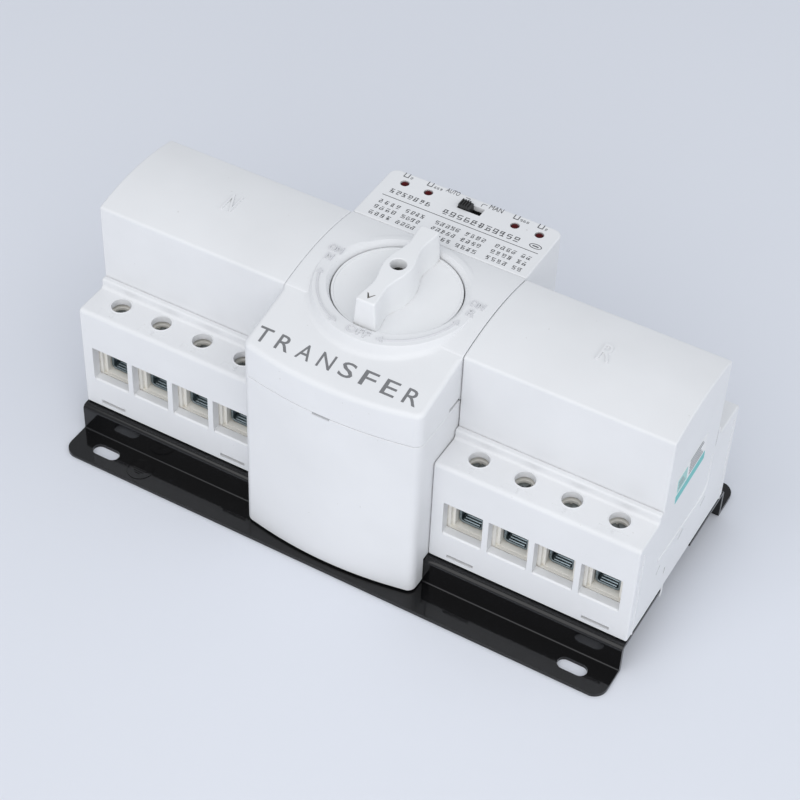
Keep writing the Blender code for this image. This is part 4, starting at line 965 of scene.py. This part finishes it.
def centre_half_plan(shrink, back, radius, side_radius=None):
    """Right half of the centre unit's plan, from the bulged front's middle back to y = back."""
    half = corners("front_cover")[1].x + SEAM - shrink
    corner = max(0.6, FRONT_CORNER_RADIUS - shrink)
    corner_y = FRONT_CORNER_Y + shrink
    bulge = crowned_line((half - corner, corner_y), (-half + corner, corner_y),
                         FRONT_CORNER_Y - FRONT_BULGE_Y, 25)
    front = [(x, y, radius) for x, y in reversed(bulge) if x > 0.0]
    bend = [(x, y, radius) for x, y in arc((half - corner, corner_y + corner), corner,
                                           -78.0, 0.0, 7)]
    plan = front[:-1] + bend
    start = bend[-1][1]
    steps = 34
    stations = [start + (back - start) * step / steps for step in range(1, steps + 1)]
    if side_radius is not None:
        stations += [HOOD_FRONT - 0.05, HOOD_FRONT + CAP_STEP, HOOD_FRONT + 2.0 * CAP_STEP]
    for y in sorted(stations):
        edge = radius if side_radius is None or y < HOOD_FRONT - 1.0 else side_radius
        plan.append((half, y, edge))
    return plan


def cap_height(y):
    """Height of the cap's top over the middle line: sloping front, small step, then the arch."""
    slope = (HOOD_FRONT_TOP - CAP_FRONT_TOP) / (HOOD_FRONT - FRONT_CORNER_Y)
    sloping = HOOD_FRONT_TOP - CAP_STEP + slope * (y - HOOD_FRONT)
    middle = (HOOD_FRONT + HOOD_REAR) / 2.0
    reach = (HOOD_REAR - HOOD_FRONT) / 2.0
    share = (y - middle) / reach
    chord = HOOD_FRONT_TOP + (HOOD_REAR_TOP - HOOD_FRONT_TOP) * (share + 1.0) / 2.0
    arched = chord + HOOD_CREST * (1.0 - share * share)
    if y <= HOOD_FRONT:
        return sloping
    blend = min(1.0, (y - HOOD_FRONT) / (2.0 * CAP_STEP))
    return sloping * (1.0 - blend) + arched * blend


def boss_top(y):
    """Height of the dial boss's top: an arch flatter than the cap's, so it shows before and behind."""
    middle = (HOOD_FRONT + HOOD_REAR) / 2.0
    return BOSS_CREST - BOSS_FALL * (y - middle) ** 2


def dial_height(x, y):
    """Height of the surface around the knob's well."""
    return max(boss_top(y), cap_height(y))


def boss_ring(turn, reach, rear_reach, drop, rise):
    """Point of the boss's side: reach from the axis at the front, rear_reach behind.

    It lies drop below the boss's top, or rise above the cap's surface where that is lower."""
    share = min(1.0, max(0.0, math.sin(turn) + 0.2))
    radius = reach + (rear_reach - reach) * share * share * (3.0 - 2.0 * share)
    x = DIAL[0] + radius * math.cos(turn)
    y = DIAL[1] + radius * math.sin(turn)
    return x, y, min(boss_top(y) - drop, cap_height(y) + rise)


def boss_mesh():
    """Low round boss about the dial, whose side runs out into the cap's slope in a hollow curve."""
    sections = ((33.6, 29.3, 3.2, -1.0), (33.3, 29.2, 3.0, -0.03), (32.6, 29.0, 2.8, 0.12),
                (32.0, 28.8, 2.6, 0.4), (31.5, 28.6, 2.4, 0.85), (31.1, 28.4, 2.2, 1.5),
                (30.9, 28.3, 2.0, 2.1), (BOSS_RADIUS + 0.55, 28.1, 0.75, 9.0),
                (BOSS_RADIUS + 0.35, 27.8, 0.25, 9.0), (BOSS_RADIUS + 0.1, 27.4, 0.04, 9.0),
                (BOSS_RADIUS - 0.3, 26.8, 0.0, 9.0), (26.5, 25.5, 0.0, 9.0), (22.0, 22.0, 0.0, 9.0))
    steps = 120
    bm = bmesh.new()
    bottom = WELL_FLOOR - SHELL_WALL
    turns = [2.0 * math.pi * step / steps for step in range(steps)]
    rings = [[bm.verts.new((DIAL[0] + 26.0 * math.cos(turn), DIAL[1] + 26.0 * math.sin(turn), bottom))
              for turn in turns]]
    for section in sections:
        rings.append([bm.verts.new(boss_ring(turn, *section)) for turn in turns])
    for lower, upper in zip(rings, rings[1:]):
        bridge(bm, lower, upper)
    bm.faces.new(list(reversed(rings[0])))
    middle = bm.verts.new((*DIAL, BOSS_CREST))
    for step in range(steps):
        bm.faces.new((rings[-1][step], rings[-1][(step + 1) % steps], middle))
    return finish_mesh(bm, "boss")


def dial_arc(radius, start, end):
    """Raised arc around the dial with an arrowhead at each end, angles in degrees."""
    centre = Vector(DIAL)
    head = 4.5 if end > start else -4.5
    bm = bmesh.new()
    points = []
    across = []
    for x, y in arc(DIAL, radius, start + head * 0.8, end - head * 0.8, 24):
        points.append((x, y, dial_height(x, y)))
        across.append((*(Vector((x, y)) - centre).normalized(), 0.0))
    add_ridge(bm, points, across, [(0.0, 0.0, 1.0)] * len(points), 1.0, MARK_RISE)
    line = finish_mesh(bm, "arc")
    heads = []
    for angle, toward in ((start, head), (end, -head)):
        tip = arc(DIAL, radius, angle, angle, 1)[0]
        base = angle + toward
        wings = [arc(DIAL, radius + wing, base, base, 1)[0] for wing in (-1.15, 1.15)]
        head_mesh = built("arrowhead", add_prism, [tip] + wings, "z", -0.3, MARK_RISE + 0.03)
        heads.append(drape(head_mesh, dial_height))
    return [line] + heads


def make_dial_marks():
    """Raised words and arcs around the dial, a little greyer than the cap: painted shade standing in
    for their shading.
    """
    sunk = -0.25
    depth = MARK_RISE - sunk
    words = [("OFF", 9.0, (-0.2, -34.0, sunk))]
    for mark, x in (("N", -28.0), ("R", 29.0)):
        words += [("ON", 5.4, (x, -2.2, sunk)), (mark, 2.6, (x, -6.8, sunk))]
    marks = [drape(text_mesh(word, width, 3.3, depth, centre, bold=0.02), dial_height)
             for word, width, centre in words]
    marks += dial_arc(28.1, 193.0, 250.5)
    marks += dial_arc(27.6, 350.0, 284.5)
    make_piece("dial_marks", merged("dial_marks", *marks), SHADED_MARK_WHITE, "frame")


def make_cap():
    high = corners("centre_cap")[1]
    rear = high.y
    mesh = built("cap", add_crowned_block, centre_half_plan(0.0, rear, 1.8, 0.3), CAP_BOTTOM,
                 cap_height)
    inside = built("cap_inside", add_crowned_block,
                   centre_half_plan(SHELL_WALL, rear - SHELL_WALL, 0.3), CAP_BOTTOM - 5.0,
                   lambda y: cap_height(y) - SHELL_WALL)
    limit = built("limit", add_crowned_block, centre_half_plan(SHELL_WALL / 2.0, rear - 0.6, 0.3),
                  CAP_BOTTOM + 5.0, lambda y: 120.0)
    mesh = join(cut(mesh, inside), combine(boss_mesh(), limit, "INTERSECT"))
    mesh = cut(mesh, built("well", add_turned, well_profile(), DIAL, 96),
               built("hub_hole", add_rod, *DIAL, HUB_RADIUS + 0.3, WELL_FLOOR - 10.0,
                     WELL_FLOOR + 1.0))
    mesh = soften(mesh, 0.16, 58.0)
    for side in (-1.0, 1.0):
        slot = built("side_slot", add_box, (side * (high.x - 3.5), side * (high.x + 2.0)),
                     SIDE_SLOT[:2], (CAP_BOTTOM - 1.0, SIDE_SLOT[2]))
        mesh = cut(mesh, slot)
    make_piece("cap_shell", mesh, WHITE, "frame", ("centre_cap",), smooth=28.0)


def well_profile():
    """Profile (radius, z) of the knob's well, whose mouth opens out like a funnel."""
    wall = WELL_RADIUS
    return [(0.0, WELL_FLOOR), (wall, WELL_FLOOR), (wall, 97.7), (wall + 0.12, 98.3),
            (wall + 0.4, 98.9), (wall + 0.85, 99.5), (wall + 1.5, 100.0), (wall + 2.4, 100.4),
            (wall + 3.4, 100.65), (wall + 3.5, 106.0), (0.0, 106.0)]


def make_front_cover():
    low, high = corners("front_cover")
    top = high.z
    mesh = built("cover", add_crowned_block, centre_half_plan(0.0, COVER_BACK, 0.35), low.z,
                 lambda y: top - 0.12, foot=0.7)
    inside = built("cover_inside", add_crowned_block,
                   centre_half_plan(SHELL_WALL, COVER_BACK + 10.0, 0.3), -10.0, lambda y: 100.0)
    wall = -PLATFORM_HALF_DEPTH - 0.3
    foot = built("cover_foot", add_box, (-50.0, 50.0), (wall, 0.0), (-10.0, PLATFORM_TOP + 0.3))
    gap = built("seam_gap", add_box, (-5.0, 2.0), (-60.0, -50.0), (top - 0.95, top + 1.0))
    mesh = soften(cut(mesh, inside, foot, gap), 0.25, 60.0)
    make_piece("front_cover_shell", mesh, WHITE, "frame", ("front_cover",))


def box_half_plan(shrink, radius):
    low, high = corners("control_box")
    half = high.x + SEAM - shrink
    front = low.y + shrink
    rear = high.y - shrink
    corner = BOX_CORNER_RADIUS - shrink / 2.0
    plan = [(half - radius, front, radius), (half, front + radius, radius)]
    plan += [(half, front + 5.0, radius)]
    plan += [(x, y, radius) for x, y in arc((half - corner, rear - corner), corner, 0.0, 90.0, 8)]
    return plan


def make_control_box():
    low, high = corners("control_box")
    mesh = built("box", add_crowned_block, box_half_plan(0.0, 0.6), low.z, lambda y: high.z,
                 foot=0.5)
    inside = built("box_inside", add_crowned_block, box_half_plan(SHELL_WALL, 0.3), -10.0,
                   lambda y: high.z - SHELL_WALL)
    openings = bmesh.new()
    add_box(openings, (-50.0, 50.0), (0.0, PLATFORM_HALF_DEPTH + 0.3), (-10.0, PLATFORM_TOP + 0.3))
    add_box(openings, MODE_SLOT[:2], MODE_SLOT[2:], (high.z - 6.0, high.z + 5.0))
    add_box(openings, (-31.0, 31.0), (15.0, HOOD_REAR + 2.0 * SHELL_WALL), (15.0, 74.0))
    for x in LAMP_XS:
        add_rod(openings, x, LAMP_Y, 1.75, high.z - 6.0, high.z + 5.0, 32)
    mesh = cut(mesh, inside, finish_mesh(openings, "box_openings"))
    mesh = soften(mesh, 0.2, 60.0)
    make_piece("control_box_shell", mesh, WHITE, "frame", ("control_box",))


# ---------------------------------------------------------------- knob

def grip_half_width(y):
    """Half width of the grip's top at y from the knob's axis."""
    hub, tip = 5.2, 3.8
    reach = abs(y)
    if reach < WAIST_Y:
        return WAIST + (hub - WAIST) * math.cos(math.pi * reach / WAIST_Y / 2.0) ** 1.9
    along = (reach - WAIST_Y) / (KNOB_HALF_LENGTH - WAIST_Y)
    return WAIST + (tip - WAIST) * math.sin(math.pi * along / 2.0) ** 1.6


def grip_plan(spread, shorten):
    """Plan of the grip bar about the knob's axis, wider by spread and shorter by shorten.

    Its waists are hardly drafted, so they take little of a positive spread."""
    steps = 44
    half_length = KNOB_HALF_LENGTH - shorten
    side = []
    for step in range(steps + 1):
        y = half_length * math.sin(math.pi * (step / steps - 0.5))
        waist_share = min(1.0, 0.2 + (grip_half_width(y) - WAIST) / 0.9)
        width = grip_half_width(y) + (spread * waist_share if spread > 0.0 else spread)
        past = max(0.0, abs(y) - (half_length - 0.8)) / 0.8
        side.append((width - 0.8 * (1.0 - math.sqrt(max(0.0, 1.0 - past * past))), y))
    return side + [(-x, y) for x, y in reversed(side)]


def knob_disc(floor):
    """Dished disc of the knob."""
    rim = KNOB_RADIUS
    dish = [(rim * share, KNOB_RIM_TOP - 0.3 - 1.5 * (1.0 - share ** 2))
            for share in (0.955, 0.9, 0.8, 0.65, 0.5, 0.35, 0.2)]
    edge = [(0.0, floor), (rim, floor), (rim, KNOB_RIM_TOP - 0.35), (rim - 0.1, KNOB_RIM_TOP - 0.1),
            (rim - 0.35, KNOB_RIM_TOP), (rim - 0.8, KNOB_RIM_TOP - 0.03)]
    return built("knob", add_turned, edge + dish + [(0.0, KNOB_RIM_TOP - 1.8)], segments=112)


def grip_mesh():
    """Waisted grip bar, slightly drafted, with a rounded top edge."""
    layers = ((0.85, 0.0, KNOB_RIM_TOP - 2.4), (0.65, 0.0, 99.0), (0.0, 0.2, KNOB_TOP - 0.75),
              (-0.07, 0.25, KNOB_TOP - 0.4), (-0.28, 0.45, KNOB_TOP - 0.12),
              (-0.65, 0.8, KNOB_TOP))
    bm = bmesh.new()
    skin(bm, [[bm.verts.new((x, y, z)) for x, y in grip_plan(spread, shorten)]
              for spread, shorten, z in layers])
    return finish_mesh(bm, "grip")


def make_knob():
    floor = WELL_FLOOR + 0.3
    mesh = join(knob_disc(floor), grip_mesh(),
                built("hub", add_rod, 0.0, 0.0, HUB_RADIUS, HUB_BOTTOM, floor + 1.0))
    bore = [(0.0, 100.0), (3.0, 100.0), (3.0, KNOB_TOP - 0.25), (3.3, KNOB_TOP + 0.02),
            (3.3, KNOB_TOP + 5.0), (0.0, KNOB_TOP + 5.0)]
    arrow = [(-1.7, -18.2), (-1.2, -18.2), (0.0, -19.9), (1.2, -18.2), (1.7, -18.2), (0.0, -21.2)]
    mesh = cut(mesh, built("bore", add_turned, bore, segments=48),
               built("shaft_bore", add_rod, 0.0, 0.0, 2.6, 80.0, SHAFT_TOP),
               built("screw_way", add_rod, 0.0, 0.0, 1.5, 90.0, 105.0),
               built("arrow", add_prism, arrow, "z", KNOB_TOP - 0.45, KNOB_TOP + 1.0))
    make_piece("knob_moulding", mesh, KNOB_WHITE, "knob", ("rotary_knob",),
               smooth=38.0, location=(*DIAL, 0.0))
    dirt_and_shade = built("arrow_dirt", add_prism, inset(arrow, 0.03), "z", KNOB_TOP - 0.5, KNOB_TOP - 0.3)
    make_piece("knob_arrow_dirt", dirt_and_shade, DIRT_AND_GROOVE_SHADE, "knob", location=(*DIAL, 0.0))


def make_knob_screw():
    """Socket-head screw down the knob's bore."""
    head = 2.85
    top = KNOB_TOP - 3.6
    profile = [(0.0, 96.0), (1.4, 96.0), (1.4, 100.05), (head, 100.05), (head, top - 0.5),
               (head - 0.5, top), (0.0, top)]
    mesh = built("screw", add_turned, profile, segments=40)
    socket = arc((0.0, 0.0), 1.5, 0.0, 300.0, 5)
    mesh = cut(mesh, built("socket", add_prism, socket, "z", top - 2.0, top + 1.0))
    make_piece("knob_screw_turned", mesh, BLACKENED_STEEL, "knob", ("knob_screw",),
               location=(*DIAL, 0.0))


# ---------------------------------------------------------------- lamps, slider

def make_lamps():
    profile = [(0.0, 88.0), (1.9, 88.0), (1.9, 89.0), (1.5, 89.0)]
    profile += [(1.5 * math.cos(math.radians(turn)), BOX_TOP - 0.7 + 0.9 * math.sin(math.radians(turn)))
                for turn in (0, 20, 40, 60, 80)]
    profile += [(0.0, BOX_TOP + 0.2)]
    mesh = built("lamp", add_turned, profile, segments=32)
    for index, x in enumerate(LAMP_XS):
        node = "indicator_lamp_%d" % (index + 1)
        make_piece("lamp_lens_%d" % (index + 1), mesh, LENS, "frame", (node,),
                   location=(x, LAMP_Y, 0.0))


def make_slider():
    low, high = corners("mode_slider")
    left, right, top = low.x, high.x, high.z - 1.5
    ribs = 5
    pitch = (right - left) / ribs
    outline = [(left, low.z), (right, low.z), (right, BOX_TOP + 0.6), (right, top - 1.1)]
    for index in range(ribs, 0, -1):
        edge = left + index * pitch
        fall = 0.9 * max(0.0, (index - ribs + 1.0))
        outline += [(edge - 0.16 * pitch, top - fall), (edge - 0.62 * pitch, top - fall * 0.6),
                    (edge - 0.80 * pitch, top - 0.55 - fall * 0.4),
                    (edge - 0.98 * pitch, top - 0.55 - fall * 0.3)]
    mesh = built("slider", add_prism, outline, "y", low.y, high.y, edge=0.12)
    make_piece("mode_slider_moulding", mesh, BLACK, "mode_slide_body", ("mode_slider",),
               smooth=25.0)


# ---------------------------------------------------------------- printed marks and label

INK_HEIGHTS = (BOX_TOP - 0.02, BOX_TOP + 0.04)


def add_glyph(bm, x, y, size, draw):
    """A plain cluster of strokes in place of one printed character."""
    stroke = 0.14 * size
    reach = 0.5 * (size - stroke)
    for level in (-1.0, draw.uniform(-0.2, 0.2), 1.0):
        left = x - reach * draw.uniform(0.5, 1.0)
        right = x + reach * draw.uniform(0.5, 1.0)
        middle = y + level * reach
        add_box(bm, (left, right), about(middle, stroke / 2.0), INK_HEIGHTS)
    for share in (-0.55, 0.55):
        middle = x + (share + draw.uniform(-0.3, 0.3)) * reach
        low, high = draw.choice(((-1.0, 0.1), (-0.2, 1.0), (-1.0, 1.0)))
        add_box(bm, about(middle, stroke / 2.0), (y + low * reach, y + high * reach),
                INK_HEIGHTS)


def add_glyph_row(bm, left, right, y, size, draw):
    count = max(1, round((right - left) / (1.1 * size)))
    pitch = (right - left) / count
    for index in range(count):
        add_glyph(bm, left + (index + 0.5) * pitch, y, size, draw)


def make_box_print():
    """Printed marks on the control box: captions, a name and a title row, a rule and rating rows.

    Only AUTO, MAN and the U by each lamp can be read; the rest are plain clusters of strokes."""
    draw = random.Random(SEED)
    bm = bmesh.new()
    add_box(bm, (-31.3, 33.0), (36.0, 36.28), INK_HEIGHTS)
    for y in (32.4, 28.8, 25.0):
        for left, right in ((-30.9, -21.2), (-19.4, -11.2), (-7.0, 3.5), (5.2, 14.0), (17.5, 26.5),
                            (28.0, 32.4)):
            add_glyph_row(bm, left, right, y, 2.0, draw)
    add_glyph_row(bm, -30.2, -13.0, 39.7, 2.3, draw)
    add_glyph_row(bm, -7.9, 24.3, 39.3, 2.7, draw)
    caption_y = 50.4
    for index, x in enumerate(LAMP_XS):
        mark_x = x - 1.5
        for side in (-1.0, 1.0):
            add_box(bm, (mark_x + side * 0.75, mark_x + side * 1.1), (caption_y - 1.2, caption_y + 1.3),
                    INK_HEIGHTS)
        add_box(bm, about(mark_x, 0.75), (caption_y - 1.25, caption_y - 0.85), INK_HEIGHTS)
        add_glyph_row(bm, x + 0.1, x + (1.5 if index in (0, 3) else 3.9), caption_y - 0.6, 1.2, draw)
    left, right, _, rear = MODE_SLOT
    for end, direction in ((left, 1.0), (right, -1.0)):
        inner = end + direction * 2.1
        add_box(bm, about(inner, 0.12), (rear + 0.9, rear + 2.4), INK_HEIGHTS)
        add_box(bm, (inner, inner - direction * 1.8), (rear + 2.45, rear + 2.7), INK_HEIGHTS)
    oval = [(30.4 + 2.5 * math.cos(math.radians(turn)), 39.4 + 1.35 * math.sin(math.radians(turn)))
            for turn in range(0, 360, 12)]
    oval_ring = cut(built("oval", add_prism, oval, "z", *INK_HEIGHTS),
                    built("oval_hole", add_prism, inset(oval, 0.32), "z", 90.0, 110.0))
    bar = built("oval_bar", add_box, (29.2, 31.6), (39.1, 39.7), INK_HEIGHTS)
    words = [text_mesh("AUTO", 5.5, 2.4, 0.06, (-9.6, 51.0, INK_HEIGHTS[0])),
             text_mesh("MAN", 5.4, 2.5, 0.06, (8.6, 50.7, INK_HEIGHTS[0]))]
    mesh = merged("box_print", finish_mesh(bm, "strokes"), oval_ring, bar, *words)
    make_piece("control_box_print", mesh, INK, "frame")


def make_cap_print():
    """Printed word across the cap's sloping front."""
    letters = []
    for index, letter in enumerate("TRANSFER"):
        x = -30.4 + 8.4 * index
        mesh = text_mesh(letter, 5.4, 6.3, 0.07, (x, -46.3, -0.02), bold=0.03)
        letters.append(drape(mesh, lambda px, py: cap_height(py)))
    make_piece("centre_cap_print", merged("cap_print", *letters), CAP_INK, "frame")


def make_label():
    """Paper label on the right unit's side wall: a stripe, a plain panel and plain bars."""
    face = corners("r_enclosure")[1].x
    turn = math.radians(LABEL_TILT)

    def block(name, finish, low, high, lift):
        plan = rounded_box(low, high, 0.3, 45.0)
        placed = [(LABEL_CENTRE[0] + a * math.cos(turn) - b * math.sin(turn),
                   LABEL_CENTRE[1] + a * math.sin(turn) + b * math.cos(turn)) for a, b in plan]
        make_piece(name, built(name, add_prism, placed, "x", face, face + lift), finish, "frame")

    block("side_label", LABEL, (-12.5, -6.7), (12.5, 6.7), 0.10)
    block("side_label_stripe", TEAL, (-12.1, -6.3), (12.1, -2.2), 0.13)
    block("side_label_panel", PALE_TEAL, (-11.5, -1.3), (-3.5, 5.4), 0.13)
    for index in range(5):
        low = -1.1 + 1.6 * index
        length = 11.8 - 1.1 * (index % 3)
        block("side_label_bar_%d" % (index + 1), GREY, (-1.8, low), (length - 1.8, low + 0.9), 0.13)
    for index in range(3):
        low = 0.2 + 1.5 * index
        block("side_label_panel_bar_%d" % (index + 1), GREY, (-10.5, low), (-5.0 - index, low + 0.6),
              0.16)


# ---------------------------------------------------------------- carried-over nodes

def finish_hidden_nodes():
    """Finishes and softened edges for the CAD nodes that stay as they are."""
    finishes = {
        "n_contact_carrier": NYLON, "r_contact_carrier": NYLON, "transfer_bar": NYLON,
        "centre_chassis": BLACK, "gear_deck": STEEL, "drive_shaft": STEEL, "drive_gear": NYLON,
        "motor": STEEL, "motor_pinion": STEEL, "circuit_board": BOARD, "mode_switch_body": BLACK,
    }
    for name, finish in finishes.items():
        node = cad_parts[name]
        for slot in node.material_slots:
            slot.material = finish
        weld = node.modifiers.new("weld", "WELD")
        weld.merge_threshold = 1e-6
        bevel = node.modifiers.new("bevel", "BEVEL")
        bevel.width = 0.00012
        bevel.segments = 2
        bevel.limit_method = "ANGLE"
        bevel.angle_limit = math.radians(45.0)
        node.modifiers.new("normals", "WEIGHTED_NORMAL").keep_sharp = True


# ---------------------------------------------------------------- stage

def make_floor():
    mesh = built("floor", add_box, (-2500.0, 2500.0), (-2500.0, 2500.0), (-20.0, -0.02))
    mesh.transform(Matrix.Scale(MM, 4))
    made, tree, shader = new_material("floor_finish")
    drift = ramp(tree, object_noise(tree, 3.0, 3.0), ((0.3, 0.0), (0.7, 1.0)))
    finish_surface(tree, shader,
                   mix_colours(tree, drift, (0.745, 0.768, 0.825), (0.758, 0.781, 0.838)), 0.72, 0.85,
                   object_noise(tree, 400.0))
    mesh.materials.append(made)
    linked("floor", mesh)


def add_area_light(name, position, target, size, power, colour):
    data = bpy.data.lights.new(name, "AREA")
    data.shape = "RECTANGLE"
    data.size, data.size_y = size
    data.energy = power
    data.color = colour
    light = linked(name, data)
    light.location = position
    light.rotation_euler = (Vector(target) - Vector(position)).to_track_quat("-Z", "Y").to_euler()


def light_studio():
    scene = bpy.context.scene
    scene.view_settings.view_transform = "Standard"
    world = bpy.data.worlds.new("studio")
    world.use_nodes = True
    background = world.node_tree.nodes["Background"]
    background.inputs["Color"].default_value = (0.90, 0.94, 1.0, 1.0)
    background.inputs["Strength"].default_value = 0.60
    scene.world = world
    add_area_light("key", (0.3, -1.1, 1.15), (0.0, 0.0, 0.05), (2.6, 1.8), 18.8,
                   (1.0, 0.988, 0.98))
    add_area_light("side", (1.3, 0.5, 0.9), (0.1, 0.0, 0.0), (1.6, 1.2), 3.6,
                   (0.96, 0.98, 1.0))


def place_camera():
    data = bpy.data.cameras.new("camera")
    data.sensor_width = 36.0
    data.lens = CAMERA_LENS
    data.clip_start = 0.01
    data.clip_end = 20.0
    camera = linked("camera", data)
    right = Vector(CAMERA_RIGHT)
    forward = Vector(CAMERA_FORWARD)
    up = right.cross(forward)
    turned = Matrix((right, up, -forward)).transposed().to_4x4()
    camera.matrix_world = Matrix.Translation(CAMERA_PLACE) @ turned
    bpy.context.scene.camera = camera


make_plate()
for unit, unit_mark in (("n", "N"), ("r", "R")):
    make_enclosure(unit, unit_mark)
    make_pole_block(unit)
make_terminals()
make_front_cover()
make_cap()
make_dial_marks()
make_control_box()
make_knob()
make_knob_screw()
make_lamps()
make_slider()
make_box_print()
make_cap_print()
make_label()
finish_hidden_nodes()
make_floor()
light_studio()
place_camera()
